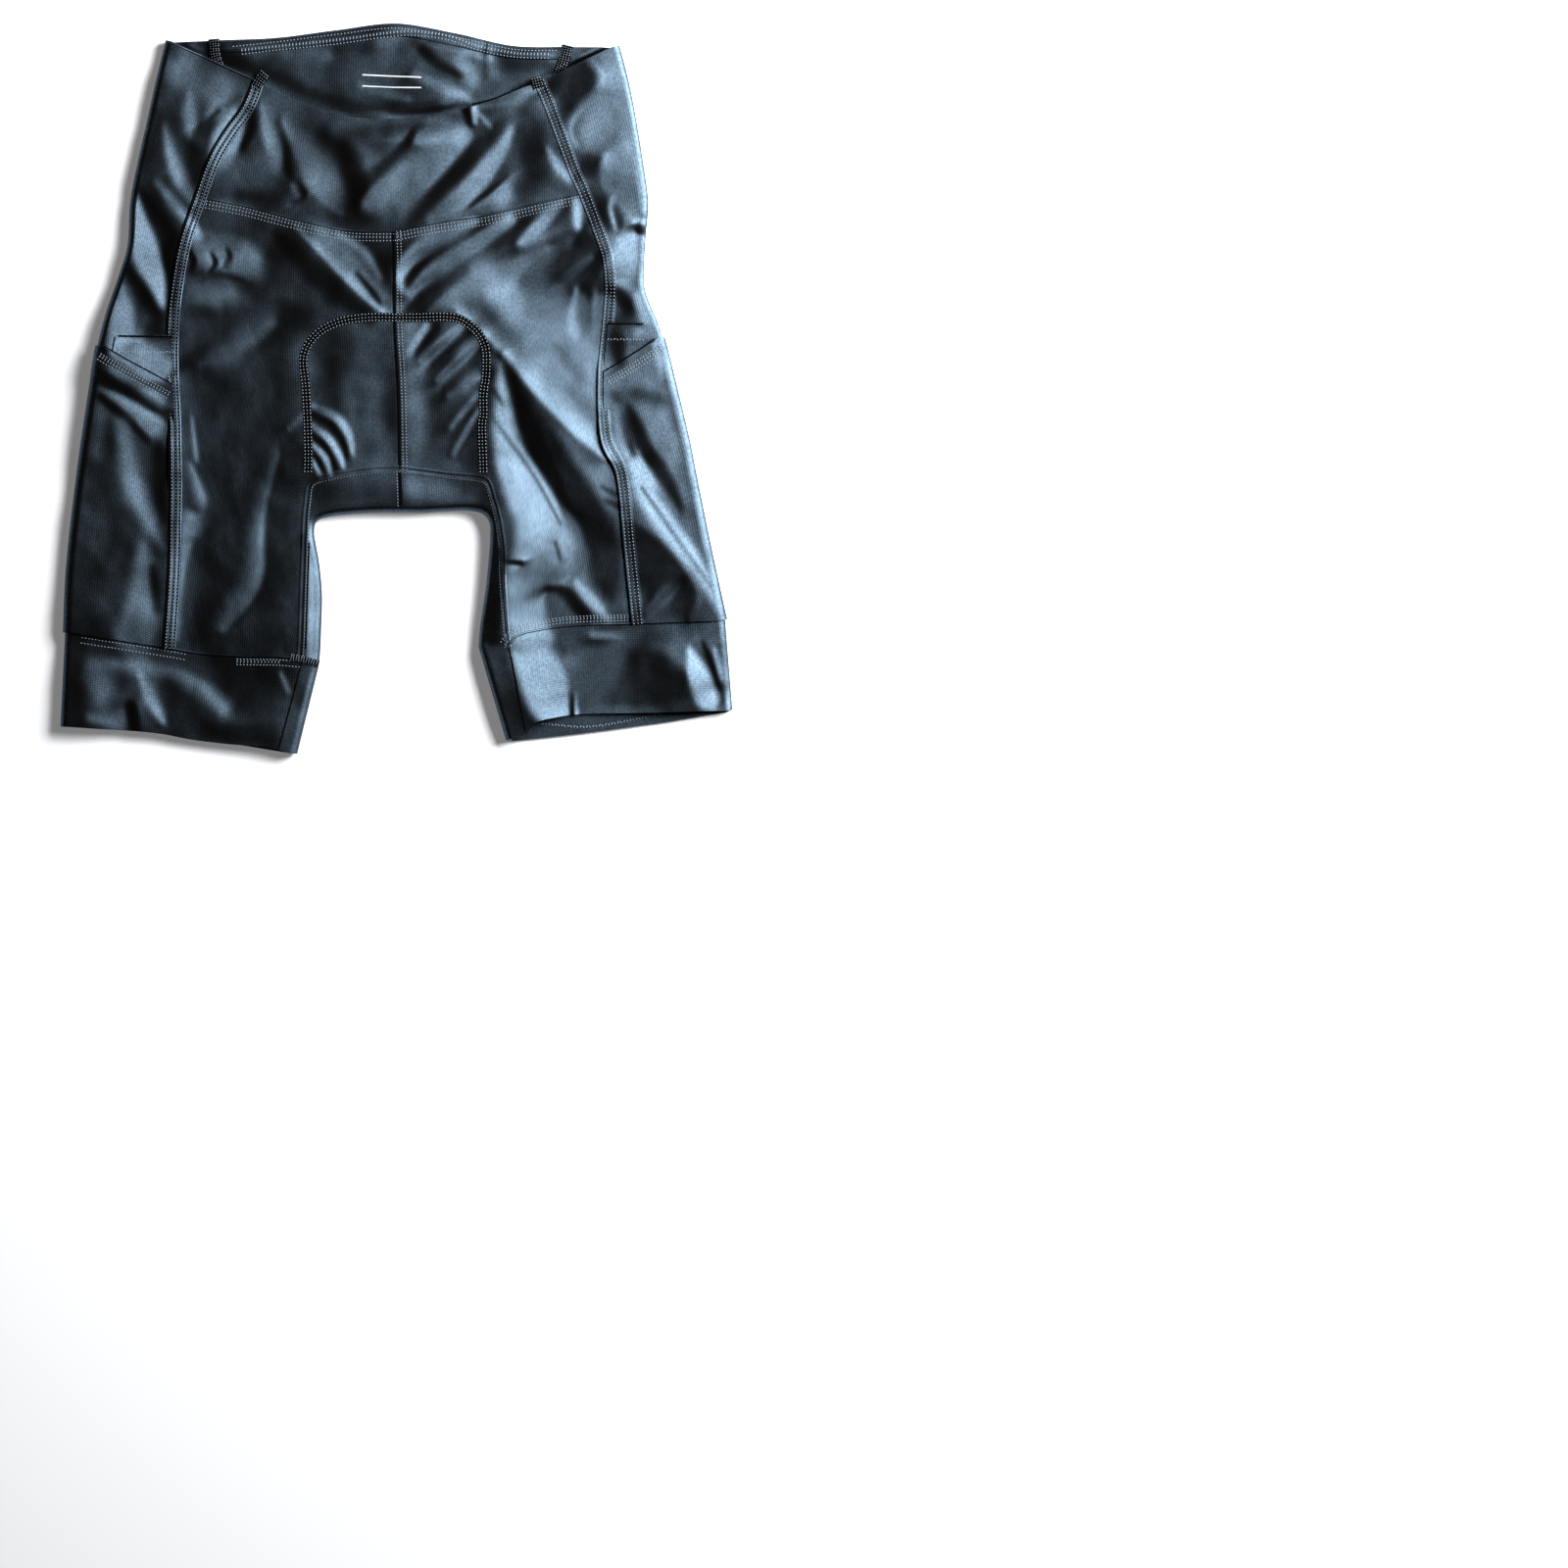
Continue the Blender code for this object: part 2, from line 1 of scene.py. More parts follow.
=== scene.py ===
import bpy
import numpy as np
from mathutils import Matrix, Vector


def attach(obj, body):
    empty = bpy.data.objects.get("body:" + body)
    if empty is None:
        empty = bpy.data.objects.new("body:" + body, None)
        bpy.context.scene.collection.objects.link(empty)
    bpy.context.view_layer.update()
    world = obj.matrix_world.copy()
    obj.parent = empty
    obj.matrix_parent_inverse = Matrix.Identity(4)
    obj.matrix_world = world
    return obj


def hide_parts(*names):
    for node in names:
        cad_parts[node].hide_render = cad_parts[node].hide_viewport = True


# Padded running shorts laid flat, front up. Lengths are in millimetres, seen from above: x to the
# right, y towards the waist, and the middle of the garment at 0, 0. Meshes are made in metres.

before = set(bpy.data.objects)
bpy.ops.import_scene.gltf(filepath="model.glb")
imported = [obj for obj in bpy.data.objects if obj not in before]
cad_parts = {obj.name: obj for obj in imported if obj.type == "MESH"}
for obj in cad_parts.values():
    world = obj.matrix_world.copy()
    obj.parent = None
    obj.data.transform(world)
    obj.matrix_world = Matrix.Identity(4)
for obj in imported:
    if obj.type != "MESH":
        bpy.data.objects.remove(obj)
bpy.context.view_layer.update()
print("frame loaded")

mm = 0.001

walls = {
    "knit": 1.3,  # one layer of the knit
    "double": 2.0,  # waistband and cuffs
    "gap": 0.3,  # between cloth that lies on cloth
    "loft": 8.6,  # height of the front where it lies smooth, with the air under its folds
    "roll": 5.0,  # depth of a rolled edge, seen from above
    "least": 3.5,  # least height of the front over the back
    "free": 2.9,  # height of the back's free edge above the front's waist edge
}
pad = {
    "centre": (0.5, -28.0), "half": (66.5, 82.0), "corner": 24.0,
    "rise": 1.2, "slope": 24.0,  # how far it lifts the front, and over which distance
    "end": -84.0, "inset": 4.0, "base": 1.6, "top": 6.8,
    "cover": 1.7,  # least height of the front's outer face over the pad's top
}
cells = {  # of the grids
    "fine": 10, "row": 20,  # on one row of the side tables, and of the other tables
    "front": 100, "sideTop": 50, "sideBack": 14, "strip": 8, "back": 36,  # across the panels
    "roll": 8, "cuff": 40,  # round a rolled edge, and down a cuff
    "facing": 42,  # across the pocket facing, which ends before the rolled edge
}

# Tables: side panels from waist to cuff (front seam, rolled edge, back seam, each x and y)
leftSide = (
    (-106, 235, -177, 267, -139, 267), (-114, 215, -184, 238, -146, 238),
    (-127, 196, -191, 206, -150, 206), (-139, 175, -198, 175, -152, 175),
    (-150, 146, -204, 143, -153, 143), (-160, 117, -206, 110, -154, 110),
    (-166, 90, -213, 86, -158, 86), (-170, 60, -222, 60, -163, 60),
    (-172, 30, -229, 32, -167, 32), (-171, 0, -234, 0, -170, 0),
    (-169, -46, -241, -46, -172, -46), (-169, -92, -247, -92, -174, -92),
    (-170, -140, -252, -140, -176, -140), (-174, -199, -254, -187, -178, -193),
)
rightSide = (
    (110, 235, 171, 263, 134, 262), (118, 216, 178, 236, 141, 236),
    (127, 192, 184, 205, 146, 205), (136, 168, 189, 174, 149, 174),
    (144, 150, 193, 143, 151, 143), (154, 124, 191, 116, 152, 116),
    (162, 100, 190, 96, 152, 96), (164, 76, 191, 74, 153, 74),
    (162, 48, 202, 46, 155, 46), (159, 10, 212, 8, 160, 8),
    (161, -37, 223, -38, 165, -38), (173, -66, 229, -68, 170, -68),
    (179, -122, 240, -122, 175, -122), (185, -180, 252, -177, 180, -184),
)
frontJunction = 4  # row where the front waistband ends
backJunction = 3
innerCorner = 4  # row of the inner tables where the crotch turns into the leg

# Crotch and inner leg from the middle to the cuff: the seam on the front, and the rolled edge
leftInner = (
    (3, -62, 4, -95), (-16, -62.5, -15, -95), (-35, -65, -34, -96), (-53, -68.5, -51, -98),
    (-65, -73, -61, -102), (-68, -86, -63, -110), (-69.5, -101, -61.5, -120),
    (-70, -117, -59.5, -131), (-70.5, -132, -58, -143), (-71, -147, -57, -156),
    (-71.5, -162, -57, -169), (-72, -177, -57.5, -183), (-72.5, -192, -58, -197),
    (-73.5, -207, -59, -211),
)
rightInner = (
    (3, -62, 4, -95), (21, -64, 20, -95), (39, -66.5, 37, -94), (56, -68, 54, -93.5),
    (69, -71, 66, -96), (74, -84, 71.5, -103), (78, -98, 72, -113), (80.5, -112, 71.5, -123),
    (82, -126, 70.5, -134), (82, -140, 69.5, -145), (82.5, -154, 68, -157),
    (83.5, -168, 66, -170), (84.5, -183, 64, -184), (86, -198, 63, -198),
)
frontWaistEdge = (
    (-106, 235), (-84, 224), (-59, 214), (-33, 208), (-2, 207), (30, 210), (60, 216.5), (88, 227),
    (110, 235),
)
leftWaistSeam = ((-2, 120), (-38, 121), (-78, 129.5), (-115, 139.5), (-150, 146))
rightWaistSeam = ((-2, 120), (34, 127), (70, 133), (107, 141.5), (144, 150))
centreFront = ((3, -62), (2, -2), (-1, 54), (-1, 95), (-2, 120))
backWaistEdge = ((-139, 267), (-93, 269), (-46, 275), (0, 280), (46, 272.5), (90, 263), (134, 262))
leftBackYoke = ((0, 168), (-52, 169), (-104, 172), (-152, 175))
rightBackYoke = ((0, 168), (50, 169), (100, 172), (149, 174))
leftCuffSeam = ((-73.5, -207), (-92, -205.5), (-121, -205), (-150, -203), (-174, -199))
rightCuffSeam = ((86, -198), (93, -189.5), (109, -185), (135, -181.5), (185, -180))

# From the cuff's seam down to its hem, round the leg from the inseam
leftHem = ((-16.5, -69.5), (-4, -66), (-3.5, -72), (-6, -70), (-17, -69), (-16.5, -69.5))
rightHem = ((14, -67), (5, -68.5), (5.5, -69), (9, -74), (21, -71.5), (14, -67))

# Lines across the side panel: place at the front seam, at the rolled edge, and cells above it
leftLines = ((0, 0, 0), (5, 5, 10), (7.67, 7.70, 5), (8.95, 7.98, 3), (13, 13, 10))
rightLines = ((0, 0, 0), (5, 5, 10), (7.95, 7.85, 5), (8.95, 8.20, 3), (13, 13, 10))
facingStart = 15 * cells["fine"]
pocketStart = 18 * cells["fine"]
facingTuck = cells["fine"]

# Folds of the front. A stroke is a soft band along points x, y, width. Its tilt is the slope towards
# the window (light blue in the photo when positive, near black when negative), and soft is how wide its
# border is, or its borders left and right of its way. Later strokes lie over earlier ones.
light = {  # the window: degrees, metres and watts
    "heading": 25.0, "height": 31.0, "distance": 1.5, "size": 1.0, "energy": 108.0,
    "colour": (0.97, 0.99, 1.0),
}
solve = {  # millimetres between places, and how the slopes become a height
    "spacing": 1.25, "across": 0.10, "limit": 0.00035,  # share of roughness across, limit on size
    "gain": 1.35, "soft": 1.5,  # factors on the height, and on the strokes' borders
}
waver = {"seed": 7, "lengths": (5.0, 12.0, 30.0), "tilts": (0.010, 0.020, 0.020)}  # uneven cloth
wholeSlopes = (  # the legs' tubes lean: broad and weak, under all the folds
    (-0.13, 24, (-118, 50, 50), (-116, -20, 80), (-118, -100, 80), (-118, -200, 80)),
    (-0.06, 24, (-80, 80, 50), (-120, 30, 50)),
    (0.08, 24, (70, 100, 50), (120, 60, 70), (140, -40, 60), (140, -190, 70)),
    (0.08, 20, (170, 240, 30), (172, 180, 30), (176, 100, 20), (195, 0, 30), (215, -150, 40)),
    (0.05, 20, (-150, 240, 30), (-130, 160, 60), (-60, 160, 60)),
)
leftFolds = (
    # left side above the pocket
    (-0.12, 8, (-158, 188, 6), (-152, 172, 16), (-155, 160, 8)),
    (-0.12, (6, 8), (-195, 150, 3), (-172, 118, 8), (-176, 98, 8), (-172, 60, 6)),
    (-0.14, 6, (-206, 92, 3), (-192, 72, 10), (-182, 55, 8), (-186, 44, 14)),
    (0.20, 12, (-166, 240, 16), (-140, 232, 24), (-116, 226, 14)),
    (0.22, 6, (-158, 226, 3), (-158, 212, 12), (-158, 202, 8), (-158, 192, 1)),
    (0.22, 6, (-147, 204, 3), (-139, 214, 9), (-129, 226, 8)),
    (-0.14, 4, (-150, 203, 3), (-143, 206, 4), (-136, 212, 3)),
    (0.28, 6, (-141, 182, 2), (-134, 196, 11), (-124, 212, 4)),
    (0.22, (8, 5), (-177, 200, 3), (-173, 182, 8), (-168, 165, 10), (-160, 150, 11), (-154, 142, 4)),
    (0.24, 6, (-183, 157, 3), (-170, 142, 10), (-157, 125, 6)),
    (0.32, (5, 6), (-199, 149, 1), (-197, 128, 14), (-192, 104, 22), (-184, 84, 16), (-179, 64, 6)),
    (0.24, 8, (-215, 88, 3), (-206, 64, 9), (-204, 46, 8)),
    (0.27, 8, (-212, 60, 16), (-213, 38, 18)),
    # left half of the waistband
    (-0.10, 10, (-86, 206, 12), (-66, 200, 12), (-46, 190, 10)),
    (-0.12, 8, (-118, 147, 10), (-96, 146, 12), (-84, 152, 6)),
    (-0.16, 8, (-42, 186, 10), (-34, 168, 18), (-28, 146, 14)),
    (0.17, (8, 12), (-138, 162, 12), (-114, 166, 22), (-94, 174, 16)),
    (0.22, (6, 8), (-116, 208, 4), (-124, 192, 16), (-134, 172, 12)),
    (0.20, (8, 4), (-103, 218, 3), (-98, 200, 12), (-93, 184, 14), (-92, 168, 8)),
    (-0.18, 4, (-110, 214, 3), (-112, 198, 6), (-118, 184, 3)),
    (0.17, (14, 3), (-86, 206, 4), (-76, 190, 14), (-66, 174, 20), (-56, 156, 22), (-42, 138, 12)),
    (-0.16, 4, (-92, 204, 2), (-85, 185, 4), (-82, 166, 5), (-75, 150, 3)),
    (-0.20, 2, (-74, 158, 2), (-70, 147, 3), (-79, 142, 2)),
    (0.15, 3, (-80, 158, 2), (-75, 147, 3)),
    # left front panel
    (0.20, (8, 14), (-154, 108, 22), (-128, 100, 34), (-112, 98, 22)),
    (0.17, 10, (-154, 76, 18), (-134, 72, 18), (-116, 70, 6)),
    (0.30, 4, (-155, 126, 4), (-153, 115, 10)),
    (-0.18, 3, (-158, 105, 2), (-155, 97, 4), (-157, 89, 2)),
    (-0.12, 2, (-141, 103, 2), (-138, 96, 3), (-143, 88, 2)),
    (0.24, 2, (-145, 102, 2), (-142, 95, 2), (-146, 90, 1)),
    (-0.10, 2, (-129, 106, 2), (-127, 100, 3), (-131, 94, 2)),
    (0.22, 2, (-133, 106, 2), (-131, 100, 2), (-135, 95, 1)),
    (-0.08, (4, 2), (-160, 82, 2), (-146, 87, 3), (-128, 86, 3), (-108, 78, 2)),
    (0.20, (12, 8), (-150, 20, 6), (-124, 32, 16), (-96, 50, 7)),
    (-0.18, 8, (-92, 118, 4), (-70, 96, 14), (-46, 74, 16), (-20, 54, 8)),
    (0.15, 10, (-62, 123, 6), (-45, 108, 15), (-25, 88, 13), (-8, 70, 5)),
    (0.29, (8, 2), (-76, 122, 2), (-60, 108, 5), (-40, 88, 7), (-20, 68, 6), (-8, 57, 2)),
    (-0.18, 2, (-30, 88, 2), (-20, 76, 3), (-12, 65, 2)),
    (0.26, 4, (-45, 118, 3), (-25, 105, 7), (-12, 85, 4)),
    (0.14, 3, (-157, -22, 2), (-153, -55, 4)),
    (0.17, (4, 8), (-158, -58, 2), (-151, -78, 9), (-148, -92, 11), (-155, -108, 13)),
    (0.24, (4, 8), (-158, -100, 12), (-164, -126, 13), (-167, -156, 10), (-170, -190, 7)),
    (0.11, (4, 14), (-90, -50, 1), (-100, -84, 3), (-105, -112, 8), (-107, -140, 12), (-117, -160, 14),
     (-134, -182, 9)),
    (0.24, 2, (-82, -31, 2), (-70, -21, 3)),
    (0.34, 3, (-64, -112, 5), (-63, -150, 8), (-64, -205, 8)),
)
rightFolds = (
    # middle of the waistband
    (0.13, 8, (-46, 197, 10), (-20, 197, 14)),
    (0.20, 5, (-14, 196, 12), (6, 196, 14)),
    (0.28, 8, (4, 198, 12), (28, 196, 22), (46, 194, 20)),
    (0.24, 8, (50, 192, 14), (24, 168, 28), (2, 154, 26), (-20, 140, 14)),
    (0.30, 6, (-24, 142, 6), (-8, 152, 12), (6, 158, 6)),
    (-0.16, 4, (13, 196, 2), (8, 186, 7), (-2, 178, 6), (-10, 174, 2)),
    (0.20, 8, (62, 142, 12), (84, 150, 16)),
    (0.25, (5, 8), (88, 198, 5), (74, 178, 16), (54, 154, 20), (26, 132, 9)),
    (0.32, 5, (50, 148, 8), (58, 158, 12), (64, 164, 4)),
    (-0.08, (9, 6), (84, 208, 8), (71, 192, 14), (53, 171, 14), (34, 150, 12), (12, 128, 8)),
    (-0.18, 3, (85, 162, 2), (70, 150, 5), (57, 140, 3)),
    (0.16, 4, (84, 140, 3), (60, 132, 4), (50, 126, 3)),
    (-0.12, 10, (98, 214, 16), (104, 192, 22), (106, 168, 20)),
    (0.24, 5, (66, 218, 5), (90, 223, 10), (106, 230, 8)),
    (0.18, 4, (116, 184, 2), (124, 170, 8), (134, 158, 2)),
    (-0.10, 8, (96, 152, 10), (126, 156, 8)),
    (-0.30, 3, (53, 215, 5), (58, 202, 3)),
    (0.36, 3, (60, 217, 5), (60, 204, 4)),
    (0.24, 3, (63, 211, 3), (72, 201, 3)),
    # right side above the pocket
    (0.16, 12, (164, 252, 14), (170, 234, 26), (162, 214, 30), (154, 200, 28), (156, 190, 22)),
    (0.14, 10, (172, 212, 22), (176, 186, 24), (178, 160, 18)),
    (-0.15, 7, (122, 232, 16), (136, 240, 28), (146, 232, 16), (132, 222, 16)),
    (0.19, (3, 8), (150, 250, 3), (158, 240, 3), (155, 226, 4), (140, 212, 4), (133, 198, 4), (138, 186, 3)),
    (0.16, 6, (164, 212, 5), (165, 198, 6)),
    (-0.18, 5, (138, 162, 6), (147, 170, 14), (155, 176, 5)),
    (-0.14, 7, (158, 138, 16), (167, 128, 16)),
    (0.20, 4, (167, 148, 3), (164, 138, 4), (168, 122, 3)),
    (0.13, (5, 3), (163, 176, 8), (161, 165, 10), (163, 153, 8), (174, 150, 4)),
    (0.26, 4, (186, 175, 6), (189, 155, 8), (192, 135, 6)),
    (0.28, 8, (180, 112, 14), (176, 98, 24), (172, 84, 16)),
    (-0.34, 2, (183, 122, 2), (187, 122, 7), (193, 118, 5)),
    (0.36, 2, (181, 127, 2), (187, 129, 3), (193, 127, 2)),
    (-0.16, 6, (166, 74, 8), (172, 68, 14), (178, 62, 8)),
    (0.26, 5, (186, 70, 8), (192, 56, 14)),
    # front, right of the middle
    (-0.08, 10, (40, 121, 8), (75, 119, 10)),
    (0.34, 5, (5, 75, 5), (3, 85, 8), (10, 100, 10), (25, 112, 10), (60, 127, 8)),
    (0.34, 4, (10, 72, 5), (25, 88, 9), (45, 100, 11), (88, 128, 9)),
    (-0.22, 2, (12, 88, 2), (30, 103, 3), (60, 118, 2)),
    (-0.20, 5, (10, 62, 4), (28, 76, 8), (50, 88, 8), (90, 107, 7)),
    (0.20, 12, (44, 72, 12), (70, 82, 22), (98, 66, 44), (122, 40, 52), (146, 12, 36), (158, -12, 16)),
    (0.34, (4, 6), (26, 59, 3), (40, 68, 8), (60, 79, 11), (90, 93, 11), (116, 108, 5)),
    (0.38, (16, 3), (48, 58, 2), (64, 47, 7), (82, 31, 10), (101, 10, 13), (122, -11, 15), (143, -32, 15),
     (162, -50, 10)),
    (-0.18, (6, 4), (100, 84, 6), (116, 86, 18), (134, 88, 34), (147, 100, 24), (142, 116, 14)),
    (0.12, 4, (118, 76, 3), (134, 88, 5), (150, 100, 4)),
    (0.30, 4, (136, 42, 10), (137, 60, 9), (138, 76, 3)),
    (0.28, 4, (153, 45, 5), (153, 60, 6), (153, 74, 2)),
    (-0.14, 4, (147, 54, 4), (147, 75, 5)),
    (0.10, 8, (126, 30, 8), (140, 8, 9)),
    (0.30, 5, (127, 142, 3), (110, 126, 9), (95, 112, 3)),
    (0.30, 4, (138, 142, 8), (139, 124, 6)),
    (-0.14, (8, 6), (79, 25, 3), (92, 1, 10), (109, -34, 20), (127, -68, 28), (142, -93, 32), (156, -115, 30),
     (160, -138, 28), (162, -156, 12)),
    (-0.22, (3, 5), (79, 25, 3), (87, 3, 9), (99, -23, 13), (112, -53, 15), (124, -80, 12), (138, -112, 6)),
    (-0.18, 2, (158, -76, 2), (168, -81, 3)),
    (-0.18, 2, (160, -86, 2), (170, -90, 3)),
    # right leg
    (0.34, 8, (80, 18, 6), (82, -10, 14), (83, -35, 18), (88, -60, 20)),
    (0.34, (5, 8), (88, -50, 20), (98, -75, 32), (110, -100, 38), (116, -125, 50), (101, -152, 34),
     (104, -186, 36)),
    (0.42, 6, (90, -58, 6), (102, -84, 10), (110, -104, 12), (104, -128, 14)),
    (-0.16, 2, (84, -133, 2), (96, -134, 3)),
    (-0.20, 4, (73, -98, 8), (76, -130, 10), (73, -190, 12)),
    (-0.02, 2, (70, 4, 1), (77, -5, 2), (82, -13, 1)),
    (0.02, 2, (73, -21, 1), (88, -42, 2), (101, -60, 2), (112, -78, 2), (126, -104, 1)),
    (0.10, 2, (122, -118, 3), (126, -132, 2)),
    (-0.16, 4, (118, -155, 5), (128, -158, 13), (136, -166, 12), (146, -174, 8)),
    (0.26, 4, (138, -148, 3), (148, -160, 9), (162, -176, 5)),
    (0.28, 6, (174, -40, 6), (184, -58, 16), (192, -72, 14)),
    (-0.12, 6, (168, -6, 3), (174, -30, 8), (182, -50, 4)),
    (-0.15, 5, (186, -40, 4), (198, -56, 10), (208, -72, 10), (218, -92, 4)),
    (-0.13, (3, 8), (180, -108, 12), (196, -134, 34), (212, -160, 36)),
    (0.29, (4, 7), (184, -72, 8), (200, -95, 15), (230, -135, 11), (250, -170, 8)),
    (-0.06, 2, (188, -76, 2), (215, -115, 2), (245, -157, 1)),
    (0.22, 4, (192, -172, 3), (204, -160, 9), (216, -150, 3)),
    (-0.14, 2, (222, -168, 2), (223, -178, 3)),
)
padFolds = (
    (0.11, 10, (-24, -8, 32), (-20, -42, 36)),
    (-0.04, 10, (-44, 38, 18), (-50, 14, 16)),
    (0.32, 3, (-64, -14, 3), (-46, -22, 6), (-36, -35, 6), (-33, -50, 3)),
    (-0.22, 3, (-63, -21, 3), (-50, -28, 3), (-41, -40, 3), (-37, -53, 2)),
    (0.34, 3, (-64, -29, 3), (-52, -38, 6), (-44, -50, 5), (-40, -60, 3)),
    (-0.22, 3, (-63, -37, 3), (-55, -44, 3), (-46, -61, 2)),
    (0.34, 3, (-64, -43, 3), (-54, -53, 6), (-50, -66, 3)),
    (-0.18, 2, (-63, -50, 2), (-57, -60, 2)),
    (0.32, 3, (-63, -56, 4), (-58, -66, 4)),
    (0.12, 10, (12, 46, 14), (14, 0, 20), (14, -40, 18)),
    (-0.10, 10, (53, -18, 16), (53, -48, 20)),
    (0.30, 3, (10, 28, 3), (24, 48, 5)),
    (-0.20, 3, (16, 26, 2), (32, 46, 3)),
    (0.34, 3, (20, 20, 4), (37, 36, 7), (52, 48, 4)),
    (-0.20, 3, (28, 18, 2), (44, 31, 4), (58, 42, 2)),
    (0.36, 3, (32, 6, 3), (48, 20, 7), (63, 34, 4)),
    (-0.18, 3, (36, 0, 2), (50, 10, 3), (63, 18, 3)),
    (0.32, 3, (40, -6, 3), (64, 8, 6)),
    (0.24, 3, (62, -6, 3), (42, -30, 3)),
    (0.24, 3, (63, -18, 3), (44, -50, 3)),
    (-0.05, 8, (-56, -80, 14), (-10, -79, 14)),
    (0.16, 8, (14, -78, 16), (40, -79, 14)),
)
pocketFolds = (
    (0.32, 5, (-214, 28, 14), (-196, 24, 26), (-186, 20, 32)),
    (0.24, 5, (-228, 20, 8), (-205, 6, 11), (-181, -10, 11)),
    (0.16, 8, (-206, -22, 16), (-186, -30, 16)),
    (0.16, 8, (-224, -14, 12), (-229, -52, 10)),
    (0.27, (4, 6), (-226, -1, 3), (-206, -11, 9), (-180, -25, 3)),
    (-0.20, 4, (-226, -7, 3), (-208, -22, 5), (-190, -40, 3)),
    (-0.16, 7, (-182, -48, 12), (-181, -75, 12), (-178, -100, 4)),
    (0.17, 8, (-210, -28, 12), (-205, -60, 15), (-197, -86, 14), (-187, -106, 9), (-178, -122, 3)),
    (0.17, 8, (-194, -122, 8), (-193, -148, 20), (-194, -172, 28), (-200, -190, 32)),
    (-0.10, 5, (-186, -138, 6), (-182, -168, 8)),
    (-0.14, 6, (168, 36, 14), (171, 22, 8)),
    (0.22, 5, (186, 42, 7), (200, 44, 8)),
    (0.20, 5, (164, 3, 10), (184, 14, 12), (203, 27, 9)),
    (0.16, 8, (168, -14, 10), (170, -40, 10)),
    (-0.08, 6, (184, -6, 10), (198, -8, 12)),
    (-0.16, 5, (178, -14, 4), (186, -34, 10), (196, -56, 6)),
    (0.14, 8, (206, -22, 12), (214, -50, 10)),
    # cuffs
    (-0.12, 8, (-146, -262, 12), (-98, -266, 16)),
    (0.18, 12, (-226, -222, 26), (-214, -244, 30), (-190, -232, 26)),
    (0.24, 9, (-232, -212, 10), (-170, -216, 15), (-132, -244, 10)),
    (0.34, (6, 4), (-197, -218, 3), (-188, -238, 10), (-178, -256, 3)),
    (-0.20, 5, (-203, -244, 7), (-200, -260, 8)),
    (0.19, 5, (-234, -252, 8), (-214, -254, 10)),
    (0.20, 3, (-88, -218, 3), (-82, -232, 3)),
    (0.38, 7, (94, -205, 12), (110, -215, 36), (118, -238, 36), (126, -252, 20)),
    (0.24, 7, (142, -212, 26), (146, -232, 14)),
    (-0.20, 7, (160, -232, 20), (190, -222, 44), (212, -226, 26)),
    (0.30, 5, (132, -209, 10), (148, -211, 12), (162, -208, 4)),
    (-0.30, 2, (134.5, -234, 3), (134.5, -252, 3)),
    (0.36, 2, (138.5, -234, 3), (138.5, -252, 3)),
    (0.28, 3, (150, -189, 5), (172, -189, 6)),
    (0.36, 5, (225, -200, 3), (232, -220, 16), (238, -238, 18)),
    (-0.24, 2, (235, -195, 2), (242, -212, 3), (248, -230, 2)),
    (0.30, 3, (244, -200, 3), (250, -222, 6)),
)
insideFolds = (  # inner faces above the front's edge
    (-0.04, 8, (-110, 250, 14), (-70, 240, 22), (-20, 238, 24), (20, 238, 20)),
    (-0.16, 8, (84, 248, 14), (112, 250, 16)),
    (0.13, 3, (-128, 261, 9), (-93, 264, 9), (-46, 270, 9), (0, 275, 9), (46, 268, 9), (90, 259, 9),
     (118, 257, 9)),
    (-0.17, (8, 1), (-146, 260, 10), (-124, 251, 12), (-105, 242.5, 12), (-88, 233.5, 12), (-70, 226, 12),
     (-56, 221, 12), (-33, 216, 13), (-2, 214.5, 13), (20, 216, 12), (32, 218, 8)),
    (0.24, (1, 3), (-172, 267, 3), (-158, 262, 5), (-148, 259, 3)),
    (-0.16, 5, (-45, 258, 8), (-20, 262, 8)),
    (0.28, 6, (22, 268, 7), (70, 256, 8)),
    (0.12, 6, (50, 250, 12), (58, 236, 12)),
    (0.14, 4, (-27, 232, 4), (-8, 227, 5), (10, 222, 4)),
    (0.18, 4, (14, 240, 5), (36, 231, 8), (54, 224, 5)),
    (-0.18, 4, (20, 260, 6), (30, 250, 8), (48, 240, 5)),
    (-0.14, 2, (68, 262, 2), (68, 238, 3)),
    (-0.12, (3, 1), (62, 222, 5), (80, 229, 6), (104, 238, 6)),
)
# Broad lifts of the front, so that deep folds stay clear of the back: x, y, radius and height
lifts = ((132, -108, 42, 3.6), (100, -20, 40, 1.6), (60, 170, 45, 2.0), (-30, 165, 40, 1.2))
# Soft dents of the underside: start, end, half width and height in millimetres
underDents = (
    (-120, 250, -60, 120, 14, 1.5), (60, 240, 110, 90, 16, 1.6), (-30, 150, -150, 20, 18, 1.7),
    (20, 120, 120, 0, 15, 1.6), (-160, -20, -100, -180, 18, 1.7), (150, -30, 110, -190, 16, 1.6),
    (-110, 60, -30, -40, 12, 1.4), (40, 20, 90, -90, 14, 1.5), (-200, -60, -180, -220, 15, 1.5),
    (210, -80, 200, -230, 15, 1.5), (-20, 240, 0, 150, 13, 1.4), (-205, 120, -180, -10, 14, 1.2),
)


# A smooth curve through a table's rows (Catmull-Rom), at places counted in rows
def through(rows, places):
    rows, places = np.asarray(rows, float), np.asarray(places, float)
    cell = np.clip(np.floor(places).astype(int), 0, len(rows) - 2)
    share = (places - cell)[..., None]
    ends = np.vstack([2 * rows[0] - rows[1], rows, 2 * rows[-1] - rows[-2]])
    before, start, end, after = (ends[cell + step] for step in range(4))
    return 0.5 * (
        2 * start + (end - before) * share
        + (2 * before - 5 * start + 4 * end - after) * share**2
        + (3 * (start - end) + after - before) * share**3
    )


